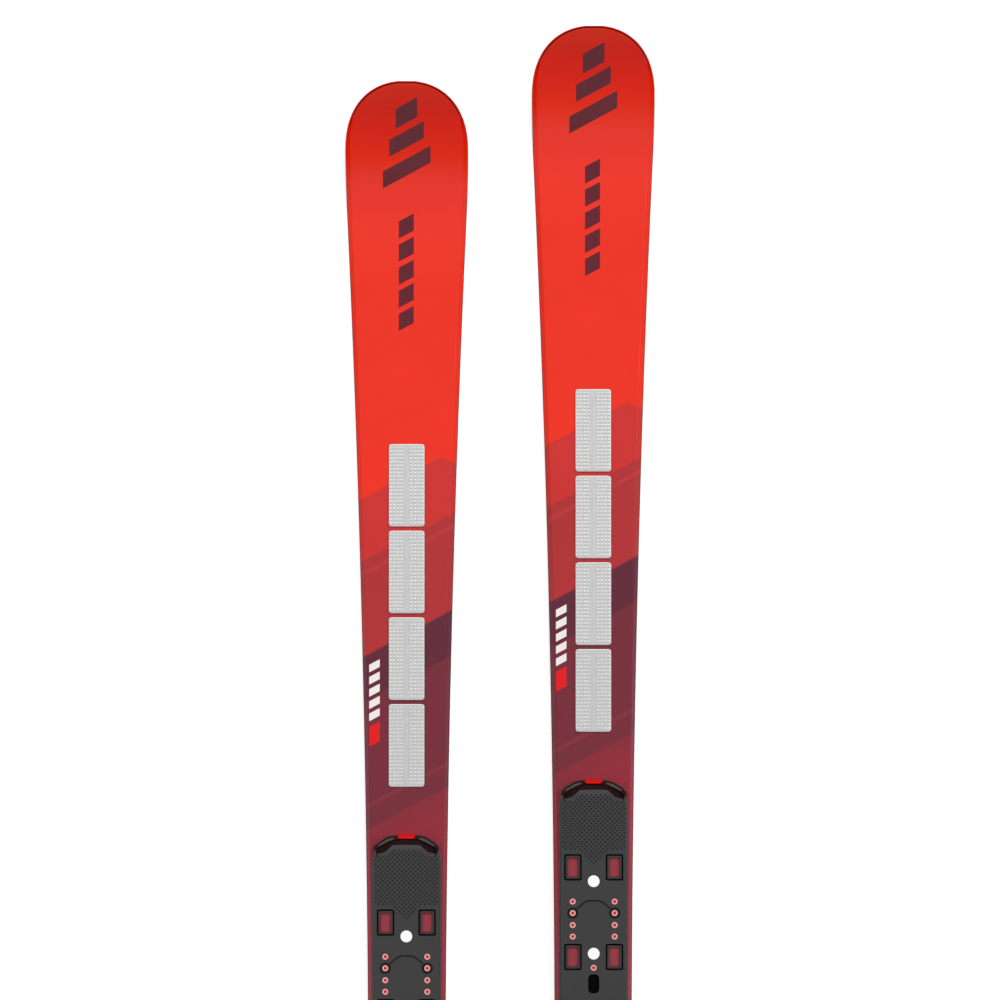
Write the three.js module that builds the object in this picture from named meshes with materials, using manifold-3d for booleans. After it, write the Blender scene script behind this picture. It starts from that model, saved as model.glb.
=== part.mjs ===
// A pair of alpine race skis with plates and release bindings, lying side by side on their bases.
//
// Millimetres. +X is to the right, +Y towards the tips and +Z up. Both skis are the same, and each is
// built about its own centre line. A "station" is a distance back along a ski from its tip.

import * as THREE from "three";
import { mergeVertices } from "three/addons/utils/BufferGeometryUtils.js";
import Module from "manifold-3d";

const wasm = await Module();
wasm.setup();

// ---------------------------------------------------------------- driving dimensions

const GAP = 0.3; // between pieces that meet
const ROUND_SIDES = 16; // facets of a round piece
const CORNER_STEPS = 3; // facets of a rounded corner

// The pair
const SKI_SPACING = 156.2; // between the two centre lines
const SKI_STAGGER = 46; // how far the right ski lies ahead of the left one

// Outline of a ski, seen from above
const SKI_LENGTH = 1875;
const SHOVEL_HALF = 51.6; // half of the widest width, in front
const SHOVEL_STATION = 60;
const TIP_BLUNTNESS = 2.5; // exponents of the tip's oval
const TIP_FULLNESS = 2.2;
const TIP_FLAT = 0.3; // the oval starts this far ahead of the tip, which leaves a small flat
const WAIST_HALF = 32.3;
const WAIST_STATION = 888;
const FRONT_SIDECUT = 16900; // radius of the side cut, front and rear
const REAR_SIDECUT = 43800;
const SHOVEL_BLEND = 0.45; // how softly the tip's oval runs into the side cut

// Side view of a ski
const TIP_CONTACT = 130; // the base lifts off the snow ahead of this station
const TAIL_CONTACT = 1800;
const TIP_RISE = 38;
const TAIL_RISE = 6;
const CAMBER = 4;
const FLAT_FROM = 605; // between these stations the ski is level and full thickness
const FLAT_TO = 1450;
const END_THICKNESS = 4.8;
const MID_THICKNESS = 15;

// Layers
const BASE_THICKNESS = 1.3;
const EDGE_WIDTH = 2;
const EDGE_HEIGHT = 1.9;
const TOP_SHEET = 0.9;
const SIDEWALL_WIDTH = 7;
const SIDEWALL_SLOPE = 3.4; // how far the sidewall leans in over its height
const SIDEWALL_FROM = 112;
const BODY_END = 1862; // the laminate ends here and the tail guard begins
const TOP_MARGIN = 3.9; // the top sheet stops this far inside the outline
const TIP_MARGIN = 0.6;

// Damper plates
const DAMPER_COUNT = 4;
const DAMPER_WIDTH = 29.7;
const DAMPER_LENGTH = 69.1;
const DAMPER_PITCH = 72.5;
const DAMPER_THICKNESS = 1.2;
const DAMPER_STATION = 302; // front end of the first

// Race plates
const DECK = CAMBER + MID_THICKNESS; // top of the ski where it is level
const PLATE_HALF = 28.8;
const PLATE_THICKNESS = 13.7;
const PLATE_BOTTOM = DECK + GAP;
const PLATE_TOP = PLATE_BOTTOM + PLATE_THICKNESS;
const FRONT_PLATE = { fore: 628, aft: 992 };
const REAR_PLATE = { fore: 1058, aft: 1402 };
const WINDOW = { width: 9, length: 15.8, across: 17.6, stations: [699.5, 774.5] };

// Toe piece
const SEAT = PLATE_TOP + GAP; // underside of everything that is screwed to a plate
const TOE_BASE = { fore: 829, aft: 984, half: 28, thickness: 7.7 };
const TOE_DECK = SEAT + TOE_BASE.thickness;
const TOE_PIVOT = { x: 19, station: 884, radius: 2.9, boss: 8 };
const TOE_SLOT = { bottom: 52, top: 68 };
const TOE_BORE = { radius: 7.6, height: 56.5 };
const SOLE_HEIGHT = 48; // underside of the boot's toe
const PAD = { fore: 925.5, aft: 962, half: 30 };

// Heel piece
const TRACK = { fore: 1162, aft: 1310, stem: 17, flange: 22, stemTop: 35.2, top: 37.6 };
const CARRIAGE = { fore: 1180, aft: 1292, half: 30, top: 44 };
const HEEL_PIVOT = { station: 1266, height: 61, radius: 3.7 };
const HEEL_BORE = { radius: 9.6, height: 78 };
const LEVER_PIVOT = { station: 1248, height: 105, radius: 2.4 };
const LENGTH_SCREW = { radius: 2.2, height: 40.7, fore: 1262, bore: 2.6 };

// Brake
const BRAKE_PIVOT = { station: 1150, height: 42 };
const WIRE_RADIUS = 2.6;
const WIRE_HALF_SIDES = 4; // facets round half the wire
const ARM_X = 40;
const ARM_END = 1258;
const FOOT = { fore: 1212, aft: 1264, inner: 36.6, outer: 43.6, bottom: 37, top: 49.5 };
const PEDAL = { fore: 1106, aft: 1141, half: 24, bottom: 46.4, top: 50 };

// ---------------------------------------------------------------- directions and curves

const RIGHT = new THREE.Vector3(1, 0, 0);
const FORWARD = new THREE.Vector3(0, 1, 0);
const UP = new THREE.Vector3(0, 0, 1);
const SIDEWAYS = new THREE.Matrix4().makeBasis(FORWARD, UP, RIGHT);
const REARWARD = new THREE.Matrix4().makeBasis(RIGHT, UP, FORWARD.clone().negate());

const along = (station) => SKI_LENGTH / 2 - station;
const stationAt = (y) => SKI_LENGTH / 2 - y;

// Runs smoothly from 0 to 1 as its argument does.
function ease(share) {
  return (1 - Math.cos(Math.PI * THREE.MathUtils.clamp(share, 0, 1))) / 2;
}

// Half the ski's width at a station: an oval tip that runs into a parabolic side cut.
function halfWidth(station) {
  const sidecut = station < WAIST_STATION ? FRONT_SIDECUT : REAR_SIDECUT;
  const cut = WAIST_HALF + (station - WAIST_STATION) ** 2 / (2 * sidecut);
  const reach = SHOVEL_STATION + TIP_FLAT;
  const ahead = Math.max(0, (SHOVEL_STATION - station) / reach);
  const oval = SHOVEL_HALF * (1 - ahead ** TIP_BLUNTNESS) ** (1 / TIP_FULLNESS);
  const difference = Math.abs(cut - oval);
  const softening = SHOVEL_BLEND * Math.exp(-difference / SHOVEL_BLEND) * Math.LN2;
  return Math.min(cut, oval) - softening;
}

// Height of the running base above the snow.
function baseHeight(station) {
  if (station < TIP_CONTACT) return TIP_RISE * (1 - station / TIP_CONTACT) ** 2;
  if (station > TAIL_CONTACT) {
    return TAIL_RISE * ((station - TAIL_CONTACT) / (SKI_LENGTH - TAIL_CONTACT)) ** 2;
  }
  const front = (station - TIP_CONTACT) / (FLAT_FROM - TIP_CONTACT);
  const rear = (TAIL_CONTACT - station) / (TAIL_CONTACT - FLAT_TO);
  return CAMBER * Math.min(ease(front), ease(rear));
}

function thickness(station) {
  const front = station / FLAT_FROM;
  const rear = (SKI_LENGTH - station) / (SKI_LENGTH - FLAT_TO);
  return THREE.MathUtils.lerp(END_THICKNESS, MID_THICKNESS, Math.min(ease(front), ease(rear)));
}

// The outline moved inwards by an inset, at right angles to itself.
function rim(station, inset) {
  const step = 0.05;
  const slope = (halfWidth(station + step) - halfWidth(Math.max(0, station - step))) / (2 * step);
  const normal = new THREE.Vector2(slope, -1).normalize().multiplyScalar(inset);
  return { station: station + normal.x, half: halfWidth(station) + normal.y };
}

// Stations close together where the ski curves, and far apart where it hardly does.
function stationsBetween(from, to) {
  const tipSteps = 9;
  const spans = [
    { end: TIP_CONTACT, steps: 4 },
    { end: FLAT_FROM, steps: 9 },
    { end: FLAT_TO, steps: 7 },
    { end: TAIL_CONTACT, steps: 6 },
    { end: BODY_END, steps: 3 },
  ];
  const stations = [];
  for (let i = 0; i <= tipSteps; i++) {
    stations.push(SHOVEL_STATION * (1 - Math.cos((Math.PI / 2) * (i / tipSteps))));
  }
  for (const { end, steps } of spans) {
    const start = stations.at(-1);
    for (let i = 1; i <= steps; i++) stations.push(start + ((end - start) * i) / steps);
  }
  const clear = 1;
  const inner = stations.filter((station) => station > from + clear && station < to - clear);
  return [from, ...inner, to];
}

// ---------------------------------------------------------------- solids

// A closed outline through corners [a, b, cut], each corner rounded from `cut` before it.
function outline(corners) {
  const shape = new THREE.Shape();
  corners.forEach(([a, b, cut = 0], i) => {
    const corner = new THREE.Vector2(a, b);
    const [beforeA, beforeB] = corners.at(i - 1);
    const [afterA, afterB] = corners[(i + 1) % corners.length];
    const start = new THREE.Vector2(beforeA, beforeB).sub(corner).setLength(cut).add(corner);
    const end = new THREE.Vector2(afterA, afterB).sub(corner).setLength(cut).add(corner);
    if (i === 0) shape.moveTo(start.x, start.y);
    else shape.lineTo(start.x, start.y);
    if (cut > 0) shape.quadraticCurveTo(corner.x, corner.y, end.x, end.y);
  });
  shape.closePath();
  return shape;
}

function prism(shape, depth) {
  const options = { depth, bevelEnabled: false, curveSegments: CORNER_STEPS };
  return new THREE.ExtrudeGeometry(shape, options);
}

// Corners [across, ...] of the right half, from one end of the centre line to the other, and their
// mirror images.
function bothSides(half) {
  return [...half, ...half.toReversed().map(([across, ...rest]) => [-across, ...rest])];
}

// A prism on corners [x, station, cut] between two heights.
function plan(corners, bottom, top) {
  const placed = corners.map(([x, station, cut]) => [x, along(station), cut]);
  return prism(outline(placed), top - bottom).translate(0, 0, bottom);
}

// A prism on corners [station, height, cut] between two sides.
function profile(corners, left, right) {
  const placed = corners.map(([station, height, cut]) => [along(station), height, cut]);
  return prism(outline(placed), right - left).applyMatrix4(SIDEWAYS).translate(left, 0, 0);
}

// A prism on corners [x, height, cut] between two stations.
function section(corners, fore, aft) {
  return prism(outline(corners), aft - fore).applyMatrix4(REARWARD).translate(0, along(fore), 0);
}

function block(left, right, fore, aft, bottom, top) {
  return new THREE.BoxGeometry(right - left, aft - fore, top - bottom).translate(
    (left + right) / 2,
    along((fore + aft) / 2),
    (bottom + top) / 2,
  );
}

function uprightRod(radius, x, station, bottom, top) {
  return new THREE.CylinderGeometry(radius, radius, top - bottom, ROUND_SIDES)
    .rotateX(Math.PI / 2)
    .translate(x, along(station), (bottom + top) / 2);
}

function crossRod(radius, left, right, station, height) {
  return new THREE.CylinderGeometry(radius, radius, right - left, ROUND_SIDES)
    .rotateZ(Math.PI / 2)
    .translate((left + right) / 2, along(station), height);
}

function longRod(radius, fore, aft, x, height) {
  return new THREE.CylinderGeometry(radius, radius, aft - fore, ROUND_SIDES).translate(
    x,
    along((fore + aft) / 2),
    height,
  );
}

function toSolid(geometry) {
  const bare = new THREE.BufferGeometry();
  bare.setAttribute("position", geometry.getAttribute("position"));
  bare.setIndex(geometry.getIndex());
  const merged = mergeVertices(bare);
  const vertProperties = merged.getAttribute("position").array;
  const triVerts = new Uint32Array(merged.getIndex().array);
  return new wasm.Manifold(new wasm.Mesh({ numProp: 3, vertProperties, triVerts }));
}

function toGeometry(solid) {
  const { vertProperties, triVerts } = solid.getMesh();
  const geometry = new THREE.BufferGeometry();
  geometry.setAttribute("position", new THREE.BufferAttribute(vertProperties, 3));
  geometry.setIndex(new THREE.BufferAttribute(triVerts, 1));
  geometry.computeVertexNormals();
  return geometry;
}

function join(...geometries) {
  return toGeometry(geometries.map(toSolid).reduce((whole, piece) => whole.add(piece)));
}

function cut(geometry, ...tools) {
  return toGeometry(tools.map(toSolid).reduce((rest, tool) => rest.subtract(tool), toSolid(geometry)));
}

function common(...geometries) {
  return toGeometry(geometries.map(toSolid).reduce((shared, piece) => shared.intersect(piece)));
}

// Lifts each point of a piece that is drawn flat by what `lift` gives at its station.
function lay(geometry, lift) {
  const position = geometry.getAttribute("position");
  for (let i = 0; i < position.count; i++) {
    position.setZ(i, position.getZ(i) + lift(stationAt(position.getY(i))));
  }
  return geometry;
}

// A four-cornered bar along a route of points on the ski. `corner` gives each of its long edges,
// named by side (-1 left, 1 right) and by whether it is an upper one, as an inset from the outline
// on a flank of the ski and a height above the base.
function sweep(route, corner) {
  const steps = route.length - 1;
  const geometry = new THREE.BoxGeometry(2, 2, 2, 1, steps, 1);
  const position = geometry.getAttribute("position");
  for (let i = 0; i < position.count; i++) {
    const point = route[Math.round(((1 - position.getY(i)) / 2) * steps)];
    const { flank, inset, height } = corner(point, Math.sign(position.getX(i)), position.getZ(i) > 0);
    const edge = rim(point.station, inset);
    const lift = baseHeight(edge.station) + height;
    position.setXYZ(i, flank * edge.half, along(edge.station), lift);
  }
  return geometry;
}

// A layer of the laminate, from one station to another.
function layer(from, to, corner) {
  const route = stationsBetween(from, to).map((station) => ({ station }));
  return sweep(route, corner);
}

// ---------------------------------------------------------------- the ski

function runningBase() {
  return layer(0, BODY_END, (point, side, upper) => ({
    flank: side,
    inset: EDGE_WIDTH + GAP,
    height: upper ? BASE_THICKNESS : 0,
  }));
}

// One steel strip that runs up the left side, round the tip and down the right side.
function steelEdge() {
  const stations = stationsBetween(0, BODY_END);
  const leftSide = stations.toReversed().map((station) => ({ station, flank: -1 }));
  const rightSide = stations.map((station) => ({ station, flank: 1 }));
  return sweep([...leftSide, ...rightSide], ({ flank }, side, upper) => ({
    flank,
    inset: side > 0 ? 0 : EDGE_WIDTH,
    height: upper ? EDGE_HEIGHT : 0,
  }));
}

// The core fills the ski between its sidewalls, and reaches out to the edge in the tip.
function woodCore() {
  const tipInset = EDGE_WIDTH + 2 * GAP;
  const bodyInset = SIDEWALL_WIDTH + 2 * GAP;
  const narrowing = 22;
  return layer(0, BODY_END, ({ station }, side, upper) => {
    const share = (station - SIDEWALL_FROM + narrowing + GAP) / narrowing;
    return {
      flank: side,
      inset: THREE.MathUtils.lerp(tipInset, bodyInset, ease(share)),
      height: upper ? thickness(station) - TOP_SHEET - GAP : BASE_THICKNESS + GAP,
    };
  });
}

function sidewall(flank) {
  const bottomInset = 0.4;
  return layer(SIDEWALL_FROM, BODY_END, ({ station }, side, upper) => {
    const outerInset = upper ? bottomInset + SIDEWALL_SLOPE : bottomInset;
    return {
      flank,
      inset: side === flank ? outerInset : SIDEWALL_WIDTH,
      height: upper ? thickness(station) - TOP_SHEET - GAP : EDGE_HEIGHT + GAP,
    };
  });
}

function topLaminate() {
  const bevel = 0.5;
  return layer(0, BODY_END, ({ station }, side, upper) => {
    const margin = THREE.MathUtils.lerp(TIP_MARGIN, TOP_MARGIN, ease((station - 55) / 50));
    return {
      flank: side,
      inset: upper ? margin + bevel : margin,
      height: upper ? thickness(station) : thickness(station) - TOP_SHEET,
    };
  });
}

function damper(index) {
  const fore = DAMPER_STATION + index * DAMPER_PITCH;
  const aft = fore + DAMPER_LENGTH;
  const corner = 2.2;
  const flat = plan(
    bothSides([
      [DAMPER_WIDTH / 2, fore, corner],
      [DAMPER_WIDTH / 2, aft, corner],
    ]),
    GAP,
    GAP + DAMPER_THICKNESS,
  );
  const deck = (y) => baseHeight(y) + thickness(y);
  return lay(flat, deck);
}

function tailGuard() {
  const fore = BODY_END + GAP + 0.1;
  const half = halfWidth(fore);
  const corners = bothSides([
    [half, fore],
    [half + 0.2, SKI_LENGTH, 9],
  ]);
  return lay(plan(corners, 0, END_THICKNESS), baseHeight);
}

// ---------------------------------------------------------------- the race plates

function plateWindow(x, station) {
  return block(
    x - WINDOW.width / 2,
    x + WINDOW.width / 2,
    station - WINDOW.length / 2,
    station + WINDOW.length / 2,
    PLATE_BOTTOM - 1,
    PLATE_TOP + 1,
  );
}

// A chamfer along both upper long edges of a plate.
function plateSection(fore, aft) {
  const chamfer = 1.6;
  const corners = bothSides([
    [PLATE_HALF, PLATE_BOTTOM],
    [PLATE_HALF, PLATE_TOP - chamfer],
    [PLATE_HALF - chamfer, PLATE_TOP],
  ]);
  return section(corners, fore, aft);
}

function frontPlate() {
  const { fore, aft } = FRONT_PLATE;
  const outlineHalf = [
    [8, fore + 1],
    [11, fore + 0.4],
    [22.5, fore + 5.5],
    [26.6, fore + 9],
    [PLATE_HALF, fore + 20],
    [PLATE_HALF, aft - 8, 4],
    [PLATE_HALF - 7, aft, 4],
  ];
  const bar = plan(bothSides(outlineHalf), PLATE_BOTTOM, PLATE_TOP);
  const nose = profile(
    [
      [fore, PLATE_BOTTOM],
      [fore, PLATE_TOP - 6],
      [fore + 7, PLATE_TOP - 1],
      [fore + 14, PLATE_TOP],
      [aft, PLATE_TOP],
      [aft, PLATE_BOTTOM],
    ],
    -PLATE_HALF,
    PLATE_HALF,
  );
  const windows = WINDOW.stations.flatMap((station) => [
    plateWindow(-WINDOW.across, station),
    plateWindow(WINDOW.across, station),
  ]);
  return cut(common(bar, nose, plateSection(fore, aft)), ...windows);
}

function rearPlate() {
  const { fore, aft } = REAR_PLATE;
  const bar = plan(
    bothSides([
      [PLATE_HALF - 7, fore, 4],
      [PLATE_HALF, fore + 8, 4],
      [PLATE_HALF, aft - 20],
      [22, aft - 5],
      [10, aft],
    ]),
    PLATE_BOTTOM,
    PLATE_TOP,
  );
  const tail = profile(
    [
      [fore, PLATE_BOTTOM],
      [fore, PLATE_TOP],
      [aft - 16, PLATE_TOP],
      [aft, PLATE_TOP - 6],
      [aft, PLATE_BOTTOM],
    ],
    -PLATE_HALF,
    PLATE_HALF,
  );
  return common(bar, tail, plateSection(fore, aft));
}

// A small tongue that closes the front of the plate.
function noseClip() {
  const aft = FRONT_PLATE.fore + 1 - GAP;
  const corners = bothSides([
    [6.4, aft - 3.2, 1.5],
    [7.6, aft],
  ]);
  return plan(corners, PLATE_BOTTOM, PLATE_TOP - 4);
}

// ---------------------------------------------------------------- the toe piece

function toeBase() {
  const { fore, aft, half } = TOE_BASE;
  const plate = plan(
    bothSides([
      [half - 10, fore, 5],
      [half, fore + 16, 6],
      [half, aft - 14, 6],
      [half - 9, aft, 4],
    ]),
    SEAT,
    TOE_DECK,
  );
  const railTop = TOE_DECK + 3.6;
  const railHalf = 20;
  const frontRail = block(-railHalf, railHalf, PAD.fore - 4, PAD.fore - GAP, TOE_DECK - 1, railTop);
  const rearRail = block(-railHalf, railHalf, PAD.aft + GAP, PAD.aft + 4, TOE_DECK - 1, railTop);
  return join(plate, frontRail, rearRail);
}

function toeHousing() {
  const fore = 831;
  const aft = 906;
  const floor = TOE_DECK + GAP;
  const side = profile(
    [
      [fore, floor],
      [fore - 1, 58, 6],
      [fore + 8, 70, 6],
      [fore + 34, 80, 12],
      [aft - 9, 82, 5],
      [aft, 77, 3],
      [aft, TOE_SLOT.top],
      [aft - 8, TOE_SLOT.top],
      [aft - 8, floor],
    ],
    -27,
    27,
  );
  const fromAbove = plan(
    bothSides([
      [13, fore - 2, 5],
      [21, fore + 12, 6],
      [26, fore + 42, 10],
      [25, aft - 10, 6],
      [17, aft + 1, 5],
    ]),
    floor - 1,
    90,
  );
  const fromFront = section(
    bothSides([
      [27, floor - 1],
      [27, 66, 6],
      [20, 84, 6],
    ]),
    fore - 3,
    aft + 3,
  );
  const slotFront = TOE_PIVOT.station - TOE_PIVOT.boss - 1.4;
  const spine = TOE_PIVOT.x - TOE_PIVOT.boss - 0.6;
  const slots = [-1, 1].map((flank) => {
    const [left, right] = flank > 0 ? [spine, 40] : [-40, -spine];
    return block(left, right, slotFront, aft + 5, TOE_SLOT.bottom, TOE_SLOT.top);
  });
  const bore = longRod(TOE_BORE.radius, fore - 5, 871, 0, TOE_BORE.height);
  const pins = [-1, 1].map((flank) =>
    uprightRod(
      TOE_PIVOT.radius,
      flank * TOE_PIVOT.x,
      TOE_PIVOT.station,
      TOE_SLOT.bottom - 2,
      TOE_SLOT.top + 2,
    ),
  );
  return join(cut(common(side, fromAbove, fromFront), ...slots, bore), ...pins);
}

// A wing turns on an upright pin and grips the toe of the boot from the side and from above.
function toeWing(flank) {
  const bottom = TOE_SLOT.bottom + 0.5;
  const top = TOE_SLOT.top - 0.5;
  const { x, station } = TOE_PIVOT;
  const boss = uprightRod(TOE_PIVOT.boss, x, station, bottom, top);
  const arm = plan(
    [
      [x - 4, station + 4],
      [x + 5, station - 6],
      [x + 15, station + 14, 6],
      [x + 22, station + 38, 6],
      [x + 20, station + 56, 3],
      [x + 14.5, station + 56, 2],
      [x + 12, station + 42, 4],
      [x + 3, station + 30, 4],
      [x - 3, station + 24, 3],
    ],
    bottom,
    top,
  );
  const lip = plan(
    [
      [x + 1, station + 27, 2],
      [x + 19, station + 31, 4],
      [x + 22, station + 40, 5],
      [x + 20, station + 55, 3],
      [x + 11, station + 54, 3],
      [x + 3, station + 38, 4],
    ],
    top - 1,
    top + 6,
  );
  const hole = uprightRod(TOE_PIVOT.radius + GAP + 0.1, x, station, bottom - 1, top + 1);
  const lugSpace = plan(
    [
      [-5, station + 20],
      [x + 2, station + 30],
      [x + 10.5, station + 42],
      [x + 13, station + 60],
      [-5, station + 60],
    ],
    bottom - 1,
    top,
  );
  const wing = cut(join(boss, arm, lip), hole, lugSpace);
  return flank > 0 ? wing : flipped(wing);
}

// The mirror image of a piece in the ski's centre plane.
function flipped(geometry) {
  return toGeometry(toSolid(geometry).mirror([1, 0, 0]));
}

// A coil spring as a grooved sleeve along the ski.
function coilSpring(outer, inner, fore, aft, height, turns) {
  const length = aft - fore;
  const groove = 0.8;
  const profilePoints = [new THREE.Vector2(inner, -length / 2)];
  for (let i = 0; i < turns; i++) {
    const start = -length / 2 + (length * i) / turns;
    profilePoints.push(new THREE.Vector2(outer, start));
    profilePoints.push(new THREE.Vector2(outer - groove, start + length / turns / 2));
  }
  profilePoints.push(new THREE.Vector2(outer, length / 2));
  profilePoints.push(new THREE.Vector2(inner, length / 2));
  profilePoints.push(profilePoints[0].clone());
  return new THREE.LatheGeometry(profilePoints, ROUND_SIDES - 4).translate(
    0,
    along((fore + aft) / 2),
    height,
  );
}

function toeSpring() {
  return coilSpring(TOE_BORE.radius - 0.7, 4, 843, 868, TOE_BORE.height, 4);
}

// A round plug with a driver slot across its outer end.
function slottedPlug(radius, fore, aft, height, slotFore, slotAft) {
  const slot = block(-radius - 1, radius + 1, slotFore, slotAft, height - 1, height + 1);
  return cut(longRod(radius, fore, aft, 0, height), slot);
}

function toeReleaseScrew() {
  return slottedPlug(TOE_BORE.radius - 0.5, 832.5, 842, TOE_BORE.height, 832, 834.6);
}

function frictionPad() {
  const bottom = TOE_DECK + GAP;
  const edge = 3;
  const pad = plan(
    bothSides([
      [PAD.half, PAD.fore, edge],
      [PAD.half, PAD.aft, edge],
    ]),
    bottom,
    SOLE_HEIGHT,
  );
  return pad;
}

// ---------------------------------------------------------------- the heel piece

function heelTrack() {
  const { fore, aft, stem, flange, stemTop, top } = TRACK;
  const rail = section(
    bothSides([
      [stem, SEAT],
      [stem, stemTop],
      [flange, stemTop],
      [flange, top],
    ]),
    fore,
    aft,
  );
  const pitch = 6;
  const teeth = [];
  for (let station = fore + 70; station < aft - 8; station += pitch) {
    teeth.push(block(-4, 4, station, station + pitch / 2, top - 1.2, top + 1));
  }
  return cut(rail, ...teeth);
}

function heelCarriage() {
  const { fore, aft, half, top } = CARRIAGE;
  const bottom = SEAT;
  const slide = section(
    bothSides([
      [half, bottom],
      [half, top - 3],
      [half - 3, top],
    ]),
    fore,
    aft,
  );
  const channel = section(
    bothSides([
      [TRACK.stem + GAP, bottom - 1],
      [TRACK.stem + GAP, TRACK.stemTop - GAP],
      [TRACK.flange + GAP, TRACK.stemTop - GAP],
      [TRACK.flange + GAP, TRACK.top + GAP],
    ]),
    fore - 1,
    aft + 1,
  );
  const { station, height, radius } = HEEL_PIVOT;
  const ear = [
    [station - 20, top - 4],
    [station - 10, height + 9, 7],
    [station + 10, height + 9, 7],
    [station + 18, top - 4],
  ];
  const earInner = 24.6;
  const earOuter = 29.6;
  const ears = [profile(ear, -earOuter, -earInner), profile(ear, earInner, earOuter)];
  const pin = crossRod(radius, -earInner - 2, earInner + 2, station, height);
  const screwBore = longRod(
    LENGTH_SCREW.bore,
    LENGTH_SCREW.fore - 2,
    aft + 1,
    0,
    LENGTH_SCREW.height,
  );
  return cut(join(slide, ...ears, pin), channel, screwBore);
}

function lengthScrew() {
  const { radius, height, fore } = LENGTH_SCREW;
  return slottedPlug(radius, fore, CARRIAGE.aft - 1, height, CARRIAGE.aft - 3, CARRIAGE.aft);
}

function heelCup() {
  const side = profile(
    [
      [1206, 87, 2],
      [1206, 80.7],
      [1226, 80.9, 3],
      [1229, 62, 2],
      [1221, 58.5, 2],
      [1221, 53.5, 3],
      [1244, 50],
      [1262, 46.5, 4],
      [1272, 47.5, 4],
      [1281, 56],
      [1294, 69, 4],
      [1294, 84, 8],
      [1280, 97, 10],
      [1236, 99.5, 12],
      [1214, 95, 8],
    ],
    -30,
    30,
  );
  const fromAbove = plan(
    bothSides([
      [21, 1205, 5],
      [29.5, 1214, 6],
      [29.5, 1239, 3],
      [24.2, 1244, 3],
      [24.2, 1278, 8],
      [17, 1296, 6],
    ]),
    40,
    104,
  );
  const fromBehind = section(
    bothSides([
      [30, 40],
      [30, 84, 8],
      [22, 102, 8],
    ]),
    1200,
    1300,
  );
  const { station, height, radius } = HEEL_PIVOT;
  const pinHole = crossRod(radius + GAP + 0.1, -32, 32, station, height);
  const bore = longRod(HEEL_BORE.radius, 1240, 1300, 0, HEEL_BORE.height);
  const lug = profile(
    [
      [LEVER_PIVOT.station - 10, 96],
      [LEVER_PIVOT.station - 4, LEVER_PIVOT.height + 5, 4],
      [LEVER_PIVOT.station + 4, LEVER_PIVOT.height + 5, 4],
      [LEVER_PIVOT.station + 9, 96],
    ],
    9,
    13,
  );
  const lugs = [lug, flipped(lug)];
  const pin = crossRod(LEVER_PIVOT.radius, -11, 11, LEVER_PIVOT.station, LEVER_PIVOT.height);
  return join(cut(common(side, fromAbove, fromBehind), pinHole, bore), ...lugs, pin);
}

function heelLever() {
  const { station, height, radius } = LEVER_PIVOT;
  const boss = crossRod(5, -8.6, 8.6, station, height);
  const blade = profile(
    [
      [station, height + 4.9],
      [station, height - 1.5],
      [station + 9, height - 3],
      [station + 66, height + 11, 2],
      [station + 68, height + 16, 2],
      [station + 40, height + 13, 10],
    ],
    -19,
    19,
  );
  const waist = plan(
    bothSides([
      [8.6, station - 6],
      [8.6, station + 11],
      [15, station + 20, 5],
      [19, station + 50, 8],
      [13, station + 70, 5],
    ]),
    height - 10,
    height + 30,
  );
  const dimple = uprightRod(7, 0, station + 52, height + 11.2, height + 30);
  const hole = crossRod(radius + GAP + 0.1, -10, 10, station, height);
  return cut(join(boss, common(blade, waist)), dimple, hole);
}

function heelSpring() {
  return coilSpring(HEEL_BORE.radius - 0.7, 5, 1243, 1280, HEEL_BORE.height, 5);
}

function heelReleaseScrew() {
  return slottedPlug(HEEL_BORE.radius - 0.5, 1281, 1293, HEEL_BORE.height, 1291, 1294);
}

// ---------------------------------------------------------------- the brake

function brakeBase() {
  const { station, height } = BRAKE_PIVOT;
  const low = height - 5;
  const plate = plan(
    bothSides([
      [22, station - 46, 4],
      [26, station - 38, 4],
      [26, station + 8, 3],
    ]),
    SEAT,
    low,
  );
  const bearing = profile(
    [
      [station - 8, low - 1],
      [station - 5, height + 5, 4],
      [station + 5, height + 5, 4],
      [station + 8, low - 1],
    ],
    19,
    25,
  );
  const hole = crossRod(WIRE_RADIUS + GAP + 0.1, -30, 30, station, height);
  return cut(join(plate, bearing, flipped(bearing)), hole);
}

// The wire's route on one side, from the foot forwards, in through the bearing and under the pedal.
function wireHalf() {
  const { station, height } = BRAKE_PIVOT;
  const pedalWire = PEDAL.bottom - 1;
  return [
    [ARM_X, ARM_END, height + 1.5],
    [ARM_X, station + 5, height],
    [ARM_X, station, height, "corner"],
    [ARM_X - 5, station, height],
    [17, station, height],
    [14, station, height, "corner"],
    [14, station - 4, height + 0.6],
    [14, PEDAL.fore + 10, pedalWire],
    [14, PEDAL.fore + 6, pedalWire, "corner"],
    [10, PEDAL.fore + 6, pedalWire],
  ];
}

// A bent wire through route points, where a point marked as a corner is rounded off.
function bentWire(route) {
  const points = route.map(([x, station, height]) => new THREE.Vector3(x, along(station), height));
  const path = new THREE.CurvePath();
  for (let i = 1; i < points.length; i++) {
    if (route[i][3] === "corner") {
      path.add(new THREE.QuadraticBezierCurve3(points[i - 1], points[i], points[i + 1]));
      i++;
    } else {
      path.add(new THREE.LineCurve3(points[i - 1], points[i]));
    }
  }
  const circle = new THREE.Shape().absarc(0, 0, WIRE_RADIUS, 0, 2 * Math.PI);
  const steps = 56;
  return new THREE.ExtrudeGeometry(circle, {
    steps,
    extrudePath: path,
    bevelEnabled: false,
    curveSegments: WIRE_HALF_SIDES,
  });
}

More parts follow.
